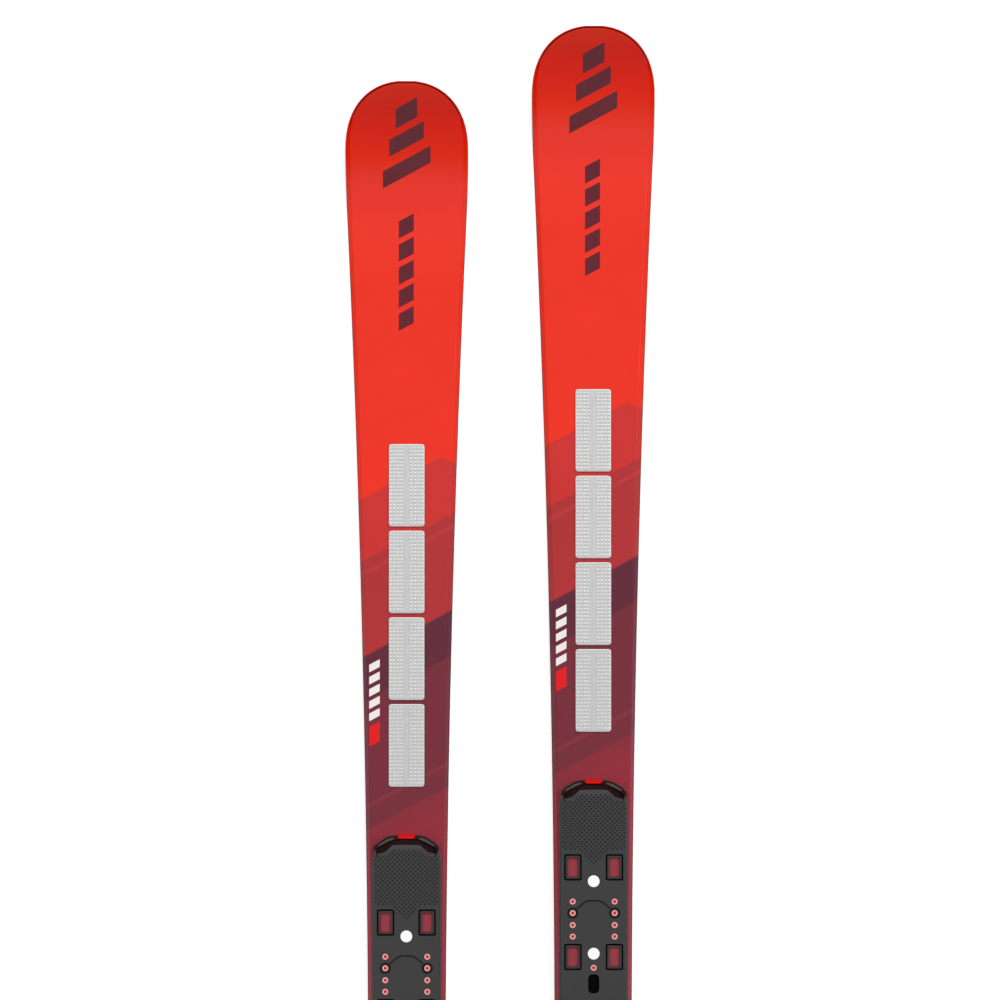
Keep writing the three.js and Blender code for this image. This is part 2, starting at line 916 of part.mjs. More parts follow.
function brakeBow() {
  const half = wireHalf();
  const mirrored = half.toReversed().map(([x, ...rest]) => [-x, ...rest]);
  const wire = bentWire([...half, ...mirrored]);
  const pedal = plan(
    bothSides([
      [PEDAL.half - 6, PEDAL.fore, 4],
      [PEDAL.half, PEDAL.fore + 8, 4],
      [PEDAL.half, PEDAL.aft, 3],
    ]),
    PEDAL.bottom,
    PEDAL.top,
  );
  const foot = profile(
    [
      [FOOT.fore, FOOT.bottom + 3, 2],
      [FOOT.aft - 14, FOOT.bottom, 3],
      [FOOT.aft, FOOT.bottom + 5, 4],
      [FOOT.aft, FOOT.top, 3],
      [FOOT.fore, FOOT.top - 2, 2],
    ],
    FOOT.inner,
    FOOT.outer,
  );
  return join(wire, pedal, foot, flipped(foot));
}

// ---------------------------------------------------------------- assembly

const FINISHES = {
  base: { color: 0x17171a, roughness: 0.45, metalness: 0 },
  steel: { color: 0xb9bcc0, roughness: 0.3, metalness: 1 },
  wood: { color: 0xc9a46b, roughness: 0.7, metalness: 0 },
  sidewall: { color: 0xb5303a, roughness: 0.4, metalness: 0 },
  topSheet: { color: 0xe43a2c, roughness: 0.25, metalness: 0 },
  damper: { color: 0xc8c8c8, roughness: 0.35, metalness: 0.8 },
  plate: { color: 0x434343, roughness: 0.6, metalness: 0 },
  redPlastic: { color: 0xd81020, roughness: 0.35, metalness: 0 },
  blackPlastic: { color: 0x1b1b1d, roughness: 0.45, metalness: 0 },
  castMetal: { color: 0x8c8f94, roughness: 0.4, metalness: 0.9 },
  pad: { color: 0xe8e8e6, roughness: 0.3, metalness: 0 },
};

function skiPieces() {
  const dampers = Array.from({ length: DAMPER_COUNT }, (_, index) => [
    `damper_${index + 1}`,
    damper(index),
    "damper",
  ]);
  return [
    ["running_base", runningBase(), "base"],
    ["steel_edge", steelEdge(), "steel"],
    ["wood_core", woodCore(), "wood"],
    ["sidewall_left", sidewall(-1), "sidewall"],
    ["sidewall_right", sidewall(1), "sidewall"],
    ["top_laminate", topLaminate(), "topSheet"],
    ...dampers,
    ["tail_guard", tailGuard(), "blackPlastic"],
    ["front_plate", frontPlate(), "plate"],
    ["rear_plate", rearPlate(), "plate"],
    ["nose_clip", noseClip(), "redPlastic"],
    ["toe_base", toeBase(), "castMetal"],
    ["toe_housing", toeHousing(), "redPlastic"],
    ["toe_wing_left", toeWing(-1), "blackPlastic"],
    ["toe_wing_right", toeWing(1), "blackPlastic"],
    ["toe_spring", toeSpring(), "steel"],
    ["toe_release_screw", toeReleaseScrew(), "castMetal"],
    ["friction_pad", frictionPad(), "pad"],
    ["heel_track", heelTrack(), "castMetal"],
    ["heel_carriage", heelCarriage(), "blackPlastic"],
    ["heel_cup", heelCup(), "redPlastic"],
    ["heel_lever", heelLever(), "blackPlastic"],
    ["heel_spring", heelSpring(), "steel"],
    ["heel_release_screw", heelReleaseScrew(), "castMetal"],
    ["length_screw", lengthScrew(), "steel"],
    ["brake_base", brakeBase(), "blackPlastic"],
    ["brake_bow", brakeBow(), "steel"],
  ];
}

function buildSki(name, pieces) {
  const ski = new THREE.Group();
  for (const [pieceName, geometry, finish] of pieces) {
    const mesh = new THREE.Mesh(geometry, new THREE.MeshStandardMaterial(FINISHES[finish]));
    mesh.name = `${name}_${pieceName}`;
    ski.add(mesh);
  }
  return ski;
}

const pair = new THREE.Group();
const pieces = skiPieces();
for (const [name, flank] of [
  ["left", -1],
  ["right", 1],
]) {
  const ski = buildSki(name, pieces);
  ski.position.set((flank * SKI_SPACING) / 2, (flank * SKI_STAGGER) / 2, 0);
  pair.add(ski);
}

export default pair;
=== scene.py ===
import math

import bmesh
import bpy
from mathutils import Matrix, Vector


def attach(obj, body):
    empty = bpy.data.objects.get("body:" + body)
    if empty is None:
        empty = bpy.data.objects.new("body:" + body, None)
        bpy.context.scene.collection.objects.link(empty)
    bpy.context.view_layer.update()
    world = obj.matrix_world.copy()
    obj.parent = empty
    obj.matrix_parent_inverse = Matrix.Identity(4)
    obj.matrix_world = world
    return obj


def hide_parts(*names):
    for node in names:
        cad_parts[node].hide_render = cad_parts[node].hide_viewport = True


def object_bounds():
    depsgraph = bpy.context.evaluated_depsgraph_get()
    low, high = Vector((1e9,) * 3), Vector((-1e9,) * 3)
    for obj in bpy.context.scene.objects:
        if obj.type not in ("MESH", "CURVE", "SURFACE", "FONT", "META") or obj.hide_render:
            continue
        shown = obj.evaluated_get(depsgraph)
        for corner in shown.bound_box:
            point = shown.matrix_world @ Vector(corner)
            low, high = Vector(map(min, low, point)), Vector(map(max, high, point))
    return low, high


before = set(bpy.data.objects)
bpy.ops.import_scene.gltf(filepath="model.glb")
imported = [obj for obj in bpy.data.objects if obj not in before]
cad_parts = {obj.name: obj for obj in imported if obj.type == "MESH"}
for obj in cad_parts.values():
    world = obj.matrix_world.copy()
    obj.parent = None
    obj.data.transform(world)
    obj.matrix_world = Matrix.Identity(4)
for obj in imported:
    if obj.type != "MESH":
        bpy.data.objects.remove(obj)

CAD_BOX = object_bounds()

# A ski is built once, in millimetres: x across it, a station s along it from the tip, and a height z.
# put() turns that into metres and places it on both skis.

# --- sizes of the ski and its plates

GAP = 0.3
SIDES = {"left": -1, "right": 1}
SPACING, STAGGER = 156.2, 46
LENGTH, BODY_END = 1875, 1862
SHOVEL_HALF, SHOVEL_STATION, TIP_BLUNTNESS, TIP_FULLNESS, TIP_FLAT = 51.6, 60, 2.5, 2.2, 0.3
WAIST_HALF, WAIST_STATION, FRONT_SIDECUT, REAR_SIDECUT, SHOVEL_BLEND = 32.3, 888, 16900, 43800, 0.45
TIP_CONTACT, TAIL_CONTACT, TIP_RISE, TAIL_RISE, CAMBER = 130, 1800, 38, 6, 4
FLAT_FROM, FLAT_TO, END_THICKNESS, MID_THICKNESS = 605, 1450, 4.8, 15
EDGE_WIDTH, EDGE_HEIGHT, SIDEWALL_FROM = 2, 1.9, 96
DAMPER_WIDTH, DAMPER_LENGTH, DAMPER_PITCH, DAMPER_STATION = 29.7, 69.1, 72.5, 302
PLATE_HALF, PLATE_BOTTOM, PLATE_TOP = 28.8, 19.3, 33
FRONT_PLATE = (628, 992)
SEAT = 33.3


def ease(share):
    return (1 - math.cos(math.pi * min(1, max(0, share)))) / 2


def lerp(a, b, share):
    return a + (b - a) * share


def along(station):
    """Between a station and the lengthwise coordinate, either way."""
    return LENGTH / 2 - station


def half_width(station):
    sidecut = FRONT_SIDECUT if station < WAIST_STATION else REAR_SIDECUT
    cut = WAIST_HALF + (station - WAIST_STATION) ** 2 / (2 * sidecut)
    ahead = max(0, (SHOVEL_STATION - station) / (SHOVEL_STATION + TIP_FLAT))
    oval = SHOVEL_HALF * (1 - ahead**TIP_BLUNTNESS) ** (1 / TIP_FULLNESS)
    softening = SHOVEL_BLEND * math.exp(-abs(cut - oval) / SHOVEL_BLEND) * math.log(2)
    return min(cut, oval) - softening


def base_height(station):
    if station < TIP_CONTACT:
        return TIP_RISE * (1 - station / TIP_CONTACT) ** 2
    if station > TAIL_CONTACT:
        return TAIL_RISE * ((station - TAIL_CONTACT) / (LENGTH - TAIL_CONTACT)) ** 2
    front = (station - TIP_CONTACT) / (FLAT_FROM - TIP_CONTACT)
    rear = (TAIL_CONTACT - station) / (TAIL_CONTACT - FLAT_TO)
    return CAMBER * min(ease(front), ease(rear))


def thickness(station):
    rear = (LENGTH - station) / (LENGTH - FLAT_TO)
    return lerp(END_THICKNESS, MID_THICKNESS, min(ease(station / FLAT_FROM), ease(rear)))


def deck(station):
    return base_height(station) + thickness(station)


# --- material tools


class Wire:
    """A node's output, which the usual signs combine with numbers and with other outputs."""

    def __init__(self, paint, socket):
        self.paint, self.socket = paint, socket

    def math(self, operation, *others):
        return self.paint.node("Math", dict(enumerate((self, *others))), operation=operation)

    def __add__(self, other):
        return self.math("ADD", other)

    def __sub__(self, other):
        return self.math("SUBTRACT", other)

    def __mul__(self, other):
        return self.math("MULTIPLY", other)

    def below(self, other):
        return self.math("LESS_THAN", other)

    def low(self, other):
        return self.math("MINIMUM", other)

    def high(self, other):
        return self.math("MAXIMUM", other)

    def within(self, centre, reach):
        return (self - centre).math("ABSOLUTE").below(reach)

    def fade(self, start, end, low=0, high=1):
        inputs = {"Value": self, "From Min": start, "From Max": end, "To Min": low, "To Max": high}
        return self.paint.node("MapRange", inputs, "Result", interpolation_type="SMOOTHSTEP")


STUDIO_LIGHT = 1.22  # how much brighter than its own colour the studio shows a level surface
GLOSS_VEIL = 0.006  # what the lacquer's own reflection adds to it


def linear(colour):
    """The linear reflectance of a surface that shows as an sRGB colour (0-255) in the studio."""
    parts = [c / 255 for c in colour]
    shown = [c / 12.92 if c < 0.04045 else ((c + 0.055) / 1.055) ** 2.4 for c in parts]
    return (*(max(0.001, (c - GLOSS_VEIL) / STUDIO_LIGHT) for c in shown), 1)


def grey(level):
    return (level, level, level, 1)


class Paint:
    """A material with its Principled shader, and the nodes that its pattern is made of.
    The patterns lie on the "place" attribute, so they move with the piece."""

    def __init__(self, name, slot, **sockets):
        self.material = bpy.data.materials.new(name)
        self.material.use_nodes = True
        self.tree = self.material.node_tree
        self.shader = self.tree.nodes["Principled BSDF"]
        for key, value in sockets.items():
            self.shader.inputs[key.replace("_", " ")].default_value = value
        self.place = self.node("Attribute", {}, "Vector", attribute_name="place")

    def node(self, kind, inputs, output=0, **settings):
        """A new node's output, from settings and from numbers, colours or wires by input."""
        node = self.tree.nodes.new("ShaderNode" + kind)
        for key, value in settings.items():
            setattr(node, key, value)
        for socket, value in inputs.items():
            if isinstance(value, Wire):
                self.tree.links.new(value.socket, node.inputs[socket])
            else:
                node.inputs[socket].default_value = value
        return Wire(self, node.outputs[output])

    def split(self):
        first = self.node("SeparateXYZ", {0: self.place})
        return [Wire(self, output) for output in first.socket.node.outputs]

    def noise(self, scale, detail=2, roughness=0.5, stretch=None):
        place = self.place
        if stretch:
            place = self.node("VectorMath", {0: place, 1: stretch}, operation="MULTIPLY")
        inputs = {"Vector": place, "Scale": scale, "Detail": detail, "Roughness": roughness}
        return self.node("TexNoise", inputs, "Fac")

    def ramp(self, value, *stops):
        made = self.node("ValToRGB", {"Fac": value}, "Color")
        elements = made.socket.node.color_ramp.elements
        while len(elements) < len(stops):
            elements.new(1)
        for element, (position, colour) in zip(elements, stops):
            element.position = position
            element.color = colour if len(colour) == 4 else linear(colour)
        return made

    def mix(self, share, first, second, blend="MIX"):
        colours = [c if isinstance(c, Wire) else linear(c) for c in (first, second)]
        inputs = {0: share, 6: colours[0], 7: colours[1]}
        return self.node("Mix", inputs, 2, data_type="RGBA", blend_type=blend)

    def shaded(self, colour, value, low, high):
        """The colour made darker and lighter with a value between 0 and 1."""
        return self.mix(1, colour, self.ramp(value, (0, grey(low)), (1, grey(high))), "MULTIPLY")

    def finished(self, colour, rough, height, distance):
        """The material, with its colour, its roughness (or none) and its bump in place."""
        bump = self.node("Bump", {"Height": height, "Distance": distance, "Strength": 1}, "Normal")
        for name, wire in (("Base Color", colour), ("Roughness", rough), ("Normal", bump)):
            if wire:
                self.tree.links.new(wire.socket, self.shader.inputs[name])
        return self.material


# --- materials

RED, BRICK, CRIMSON, CRIMSON_LINE = (236, 58, 44), (204, 59, 56), (177, 58, 60), (189, 62, 66)
PLUM, MAROON, MAROON_LINE = (102, 50, 63), (121, 54, 64), (133, 57, 67)
WINE, BERRY = (139, 54, 64), (150, 54, 66)
DARK_MARK, WHITE_MARK, RED_MARK = (103, 46, 55), (240, 232, 232), (226, 40, 44)
# The tip groove's dark red is partly print and partly painted shade.
TIP_GROOVE_PRINT_AND_SHADE, LIP_RED = (92, 14, 14), (238, 52, 44)
BAND_SLANT = 0.53  # how far a band runs along the ski for each millimetre across it


def banded(paint, run, first, last, start, bands, end, soft=0.5):
    """Bands of colour over a stretch of the ski, each from its own edge on."""
    size = last - first
    stops, before = [(0, start)], start
    for edge, after in bands:
        stops += [((edge - soft - first) / size, before), ((edge + soft - first) / size, after)]
        before = after
    return paint.ramp((run - first) * (1 / size), *stops, (1, end))


def top_sheet_paint(name, gloss):
    """Lacquered print: a red shovel, then diagonal bands from crimson to maroon, and plain marks."""
    paint = Paint(name, "top_sheet", IOR=gloss)
    x, station, _ = paint.split()
    tip_length, tail_from, fold, fold_slant = 170, 1430, 28.8, 0.45
    # The shovel's red is painted darker and deeper towards the tip: painted shade of the tip's upturn.
    tip_shade_tones = (
        (0, (225, 50, 24)), (0.12, (220, 36, 10)), (0.24, (228, 36, 12)), (0.37, (233, 44, 22)),
        (0.5, (237, 62, 51)), (0.7, (240, 62, 51)), (1, RED),
    )
    front_bands = (
        (380.5, CRIMSON), (390, CRIMSON_LINE), (393.4, CRIMSON), (460.9, PLUM),
        (498.8, MAROON), (585.9, MAROON_LINE), (589.6, MAROON), (607.2, WINE),
    )
    tail_bands = (
        (1463, MAROON_LINE), (1476.2, MAROON), (1529, PLUM),
        (1568.6, BERRY), (1634.6, CRIMSON), (1700.6, BRICK),
    )
    red = paint.ramp(station * (1 / tip_length), *tip_shade_tones)
    run = station + x * BAND_SLANT
    front = banded(paint, run, 370, 640, BRICK, front_bands, BERRY)
    tail = banded(paint, run, tail_from, 1760, BERRY, tail_bands, RED, 0.495)
    lower = paint.mix(run.math("GREATER_THAN", tail_from), front, tail)
    first_run = station + x.low(fold) * BAND_SLANT - (x - fold).high(0) * fold_slant
    colour = paint.mix(first_run.fade(327.2, 329), red, lower)
    tip_marks = [(0, 26, 9, 8), (0, 47, 14.5, 7), (0, 70, 20, 7)]
    tip_marks += [(-0.5, 119 + index * 19.4, 6.3, 7.2) for index in range(5)]
    ticks = [(-26.9, 487.5 + index * 10.2, 4.4, 3.2) for index in range(5)]
    for places, tone in ((tip_marks, DARK_MARK), (ticks, WHITE_MARK), ([(-26.9, 544.5, 4.4, 8.2)], RED_MARK)):
        shape = None
        for centre_x, centre, half_x, half in places:
            leaning = station + (x - centre_x) * BAND_SLANT
            mark = x.within(centre_x, half_x) * leaning.within(centre, half)
            shape = shape.high(mark) if shape else mark
        colour = paint.mix(shape, colour, tone)
    inset = paint.node("Attribute", {}, "Fac", attribute_name="inset")
    # The groove round the tip is painted dark red: partly its print, partly painted shade in the groove.
    colour = paint.mix(inset.within(1.75, 0.55) * station.fade(44, 18), colour, TIP_GROOVE_PRINT_AND_SHADE)
    colour = paint.mix(inset.below(1.2) * station.fade(50, 20), colour, LIP_RED)
    colour = paint.shaded(colour, paint.noise(0.02, 3), 0.95, 1.05)
    scuffs = paint.noise(0.5, 3, stretch=(1, 0.1, 1))
    return paint.finished(colour, scuffs.fade(0.3, 0.8, 0.16, 0.2), paint.noise(0.12), 0.00002)


def plastic(name, slot, colour, rough=(0.4, 0.55), grain=2.4, depth=0.00005, spread=0.08, **sockets):
    """Moulded plastic: a fine spark-eroded grain, and a faint cloudiness in its colour."""
    paint = Paint(name, slot, **sockets)
    cloudy = paint.shaded(colour, paint.noise(0.06, 4), 1 - spread, 1 + spread)
    return paint.finished(cloudy, paint.noise(0.5, 3).fade(0.3, 0.75, *rough), paint.noise(grain), depth)


def metal(name, slot, colour, rough=(0.25, 0.4), stretch=(1, 1, 1), depth=0.00002):
    """Metal with fine marks drawn out along one direction."""
    paint = Paint(name, slot, Metallic=1)
    grain = paint.noise(1.6, 5, 0.65, stretch)
    colour = paint.shaded(colour, grain, 0.86, 1.1)
    return paint.finished(colour, grain.fade(0.3, 0.75, *rough), grain, depth)


def base_paint():
    """Sintered running base: black, with the fine lines of a stone grind along it."""
    paint = Paint("sintered_base", "base", IOR=1.5)
    grind = paint.noise(6, stretch=(1, 0.004, 1))
    black = paint.shaded((34, 34, 38), grind, 0.7, 1.4)
    return paint.finished(black, grind.fade(0.3, 0.7, 0.28, 0.5), grind, 0.00003)


def wood_paint():
    paint = Paint("laminated_ash", "core", Roughness=0.6)
    grain = paint.noise(0.6, 6, 0.6, (1, 0.02, 1))
    colour = paint.ramp(grain, (0.3, (172, 128, 78)), (0.7, (212, 175, 122)))
    return paint.finished(colour, None, grain, 0.00005)


def damper_paint():
    """Brushed aluminium under satin lacquer: painted shade in its dips, a painted highlight on its dots."""
    paint = Paint("damper_foil", "damper", Metallic=0.35, Coat_Weight=0.2, Coat_Roughness=0.2)
    height = paint.split()[2]
    brushed = paint.noise(2.2, 4, 0.6, (1, 0.05, 1))
    level = (214, 215, 214)
    # By height: painted shade in the dips and on the rounded rim, a painted highlight on the dots.
    dip_shade_and_dot_highlight_tones = ((0, (184, 185, 184)), (0.4, level), (0.5, level), (1, (238, 239, 238)))
    silver = paint.shaded(paint.ramp((height - 0.85) * (1 / 0.5), *dip_shade_and_dot_highlight_tones), brushed, 0.94, 1.04)
    return paint.finished(silver, brushed.fade(0.3, 0.7, 0.3, 0.42), brushed, 0.00002)


TOP_SHEET = top_sheet_paint("top_sheet_print", 1.3)
SHOULDER = top_sheet_paint("top_sheet_shoulder", 1.05)
SIDEWALL = plastic("sidewall_abs", "sidewall", (112, 30, 36), (0.4, 0.5), 1.2, IOR=1.15)
STEEL = metal("edge_steel", "edge_steel", (186, 190, 196), stretch=(1, 0.02, 1))
BASE = base_paint()
WOOD = wood_paint()
DAMPER = damper_paint()
PLATE = plastic("plate_polymer", "plate", (58, 58, 58), (0.52, 0.6), 3.2, 0.00006, 0.035, IOR=1.33)
# Painted shade on the floors of deep recesses: window frames, the oval and the pockets.
PLATE_RECESS_SHADE = plastic("plate_recess_shade", "plate", (20, 12, 13), (0.7, 0.85), IOR=1.1)
# A painted highlight on the nose's sloping facets.
PLATE_FACET_HIGHLIGHT = plastic("plate_facet_highlight", "plate", (72, 74, 67), (0.45, 0.55), IOR=1.2)
# Lighter painted shade on faces sunk less deep: shallow grooves, rings and pits.
PLATE_GROOVE_SHADE = plastic("plate_groove_shade", "plate", (34, 35, 34), (0.6, 0.75), IOR=1.2)
# Painted shade on the nose's lip and in the band's recess behind it.
PLATE_NOSE_SHADE = plastic("plate_nose_shade", "plate", (48, 31, 33), (0.6, 0.75), spread=0.2, IOR=1.1)
PLATE_LOOKS = [PLATE, PLATE_RECESS_SHADE, PLATE_FACET_HIGHLIGHT, PLATE_GROOVE_SHADE, PLATE_NOSE_SHADE]
COLLAR = plastic("window_collar", "plate", (66, 72, 68), (0.45, 0.55), IOR=1.3)
WINDOW_RUBBER = plastic("window_rubber", "plate", (146, 54, 64), (0.5, 0.6), 1, spread=0.06, IOR=1.33)
# Pale pink: a painted highlight on the inserts' collars.
INSERT_RING_HIGHLIGHT = plastic("insert_ring_highlight", "plate", (240, 172, 168), (0.3, 0.4), spread=0.04)
RED_INSERT = plastic("insert_core", "red_clip", (206, 34, 52), (0.3, 0.42), spread=0.06)
RED_CLIP = plastic("red_clip", "red_clip", (214, 12, 20), (0.3, 0.4), IOR=1.3)
WHITE_PLUG = plastic("white_plug", "pad", (252, 252, 252), (0.35, 0.45), spread=0.01)
PAD_WHITE = plastic("glide_pad", "pad", (226, 226, 222), (0.18, 0.28), spread=0.03)
RED_SHELL = plastic("red_shell", "housing", (202, 26, 32), (0.26, 0.31), 1.4, 0.00001, 0.025)
BLACK = plastic("black_plastic", "black_plastic", (30, 30, 32), (0.46, 0.56), spread=0.045)
CAST = metal("cast_alloy", "cast_metal", (152, 155, 160), (0.36, 0.52), depth=0.00004)
SPRING = metal("spring_wire", "spring_steel", (120, 122, 126), (0.24, 0.36))
SCREW_STEEL = metal("screw_steel", "spring_steel", (150, 152, 156), (0.28, 0.4))
WIRE_STEEL = metal("brake_wire", "brake_steel", (196, 198, 202), (0.16, 0.28))

# --- shapes

MERGE_DISTANCE = 1e-4


def raw_mesh(points, faces):
    mesh = bpy.data.meshes.new("shape")
    mesh.from_pydata(points, [], faces)
    mesh.validate()
    return cleaned(mesh, lambda builder: bmesh.ops.recalc_face_normals(builder, faces=builder.faces))


def cleaned(mesh, *tools):
    builder = bmesh.new()
    builder.from_mesh(mesh)
    for tool in tools:
        tool(builder)
    builder.to_mesh(mesh)
    builder.free()
    return mesh


def joined(*parts):
    """Several meshes as one."""
    tools = [lambda builder, part=part: builder.from_mesh(part) for part in parts]
    return cleaned(bpy.data.meshes.new("joined"), *tools)


def flipped(mesh):
    """The mesh for the other side of the ski."""
    made = mesh.copy()
    made.transform(Matrix.Scale(-1, 4, (1, 0, 0)))
    made.flip_normals()
    return made


def pairs(*meshes):
    return [made for mesh in meshes for made in (mesh, flipped(mesh))]


def quads(rows, closed=False):
    """The faces between each row of points and the next."""
    first = 0 if closed else 1
    return [(a[i - 1], a[i], b[i], b[i - 1]) for a, b in zip(rows, rows[1:]) for i in range(first, len(a))]


def loft(rings):
    """A closed body through rings of points, with flat ends."""
    count, points = len(rings[0]), [point for ring in rings for point in ring]
    rows = [range(start, start + count) for start in range(0, len(points), count)]
    return raw_mesh(points, [tuple(rows[0]), tuple(rows[-1]), *quads(rows, True)])


def curve(start, middle, end, steps):
    """Points on an arc that leaves start towards middle and comes in to end from there."""
    shares = [k / steps for k in range(steps + 1)]
    return [start * (1 - t) ** 2 + middle * 2 * t * (1 - t) + end * t * t for t in shares]


def rounded(corners, steps=7):
    """A closed outline through corners (a, b) or (a, b, cut), rounded from `cut` before the corner."""
    points = []
    for i, (a, b, *cut) in enumerate(corners):
        here = Vector((a, b))
        if cut:
            before = Vector(corners[i - 1][:2]) - here
            after = Vector(corners[(i + 1) % len(corners)][:2]) - here
            start, end = here + before.normalized() * cut[0], here + after.normalized() * cut[0]
            points += [tuple(point) for point in curve(start, here, end, steps)]
        else:
            points.append((a, b))
    return points


def moved(corners, a, b):
    """Corners that are given from the point (a, b)."""
    return [(a + first, b + second, *cut) for first, second, *cut in corners]


def both_sides(half):
    """A closed outline from its right half, with the left half after it."""
    return [*half, *[(-corner[0], *corner[1:]) for corner in reversed(half) if abs(corner[0]) > 1e-9]]


def plan(corners, bottom, top, steps=7):
    """A body with (x, station) corners, from one height to another."""
    outline = rounded(corners, steps)
    return loft([[(x, along(s), z) for x, s in outline] for z in (bottom, top)])


def profile(corners, left, right, steps=7):
    """A body with (station, height) corners, from one x to another."""
    outline = rounded(corners, steps)
    return loft([[(x, along(s), z) for s, z in outline] for x in (left, right)])


def section(corners, fore, aft, steps=7):
    """A body with (x, height) corners, from one station to another."""
    outline = rounded(corners, steps)
    return loft([[(x, along(s), z) for x, z in outline] for s in (fore, aft)])


def block(left, right, fore, aft, bottom, top):
    return plan([(left, fore), (right, fore), (right, aft), (left, aft)], bottom, top)


def blocks(left, right, stations, length, bottom, top):
    return [block(left, right, station, station + length, bottom, top) for station in stations]


def rectangle(x, station, half_x, half_y, corner):
    signs = ((-1, -1), (1, -1), (1, 1), (-1, 1))
    return [(x + half_x * i, station + half_y * j, corner) for i, j in signs]


def circle(radius, a=0, b=0, sides=48, start=0):
    turns = [start + 2 * math.pi * i / sides for i in range(sides)]
    return [(a + radius * math.cos(turn), b + radius * math.sin(turn)) for turn in turns]


def upright_rod(radius, x, station, bottom, top, sides=48):
    return plan(circle(radius, x, station, sides), bottom, top)


def cross_rod(radius, left, right, station, height, sides=48):
    return profile(circle(radius, station, height, sides), left, right)


def long_rod(radius, fore, aft, height, sides=48):
    return section(circle(radius, 0, height, sides), fore, aft)


def evaluated(piece, **options):
    graph = bpy.context.evaluated_depsgraph_get()
    return bpy.data.meshes.new_from_object(piece.evaluated_get(graph), depsgraph=graph, **options)


def linked(name, mesh):
    piece = bpy.data.objects.new(name, mesh)
    bpy.context.scene.collection.objects.link(piece)
    return piece


def worked(mesh, *steps):
    """The mesh after steps such as ("cut", mesh, ...) and ("bevel", width, segments, angle)."""
    piece, helpers = linked("work", mesh), []
    for kind, *details in steps:
        if kind == "bevel":
            bevel = piece.modifiers.new("bevel", "BEVEL")
            bevel.width, bevel.segments, angle = (*details, 34)[:3]
            bevel.limit_method = "ANGLE"
            bevel.angle_limit = math.radians(angle)
            bevel.use_clamp_overlap = True
            bevel.miter_outer = "MITER_ARC"
            continue
        for tool in details:
            helpers.append(linked("tool", tool))
            boolean = piece.modifiers.new("boolean", "BOOLEAN")
            boolean.operation = {"cut": "DIFFERENCE", "add": "UNION", "common": "INTERSECT"}[kind]
            boolean.solver = "MANIFOLD"
            boolean.object = helpers[-1]
    made = evaluated(piece)
    for done in (*helpers, piece):
        bpy.data.objects.remove(done)
    return cleaned(
        made,
        lambda builder: bmesh.ops.remove_doubles(builder, verts=builder.verts, dist=MERGE_DISTANCE),
        lambda builder: bmesh.ops.dissolve_degenerate(builder, edges=builder.edges, dist=MERGE_DISTANCE),
    )


def bevelled(mesh, width, segments=3):
    return worked(mesh, ("bevel", width, segments))


def carved(mesh, *tools):
    return worked(mesh, ("cut", *tools))


def fitted(mesh, looks, smooth=34, weighted=True, on_ski=False):
    """Materials, normals and the pattern's coordinates for a finished mesh, which goes to metres.
    A pattern lies on x, y and z, or on_ski on x, the station and the height above the ski's base."""
    slots = [min(face.material_index, len(looks) - 1) for face in mesh.polygons]
    mesh.materials.clear()
    for material in looks:
        mesh.materials.append(material)
    mesh.polygons.foreach_set("material_index", slots)
    values = []
    for x, y, z in (vertex.co for vertex in mesh.vertices):
        station = along(y)
        values += [x, station, z - base_height(min(LENGTH, max(0, station)))] if on_ski else [x, y, z]
    mesh.attributes.new("place", "FLOAT_VECTOR", "POINT").data.foreach_set("vector", values)
    mesh.transform(Matrix.Scale(0.001, 4))
    mesh.shade_smooth()
    mesh.set_sharp_from_angle(angle=math.radians(smooth))
    if not weighted:
        return mesh
    piece = linked("work", mesh)
    piece.modifiers.new("normals", "WEIGHTED_NORMAL").keep_sharp = True
    made = evaluated(piece, preserve_all_data_layers=True)
    bpy.data.objects.remove(piece)
    return made


def mount(name, mesh, body, node=None, at=Matrix()):
    """Places a fitted mesh on both skis. body and node are names without left_ or right_."""
    for side, sign in SIDES.items():
        piece = linked(f"{side}_{name}", mesh)
        piece.matrix_world = Matrix.Translation((sign * SPACING / 2000, sign * STAGGER / 2000, 0)) @ at
        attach(piece, f"{side}_{body}")
        if node:
            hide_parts(f"{side}_{node}")


def put(name, mesh, look, body="ski", node=None, **finish):
    """Fits a mesh and places it on both skis. The CAD node that it stands for, if any, is hidden."""
    mount(name, fitted(mesh, look if isinstance(look, list) else [look], **finish), body, node)


# --- the ski

TIP_STEPS, STEP = 30, 8


def stations_to(end, start=0):
    found = [SHOVEL_STATION * (1 - math.cos(math.pi / 2 * i / TIP_STEPS)) for i in range(TIP_STEPS + 1)]
    while found[-1] < LENGTH:
        found.append(found[-1] + STEP)
    return [start, *[s for s in found if start + 0.05 < s < end - 1], end]


def rim_point(station, inset, height, flank):
    """A point at a distance in from the ski's outline and above its base, on the left or right."""
    step = 0.05
    slope = (half_width(station + step) - half_width(max(0, station - step))) / (2 * step)
    size = math.hypot(slope, 1)
    edge, half = station + slope / size * inset, half_width(station) - inset / size
    return Vector((flank * max(0, half), along(edge), base_height(min(LENGTH, max(0, edge))) + height))


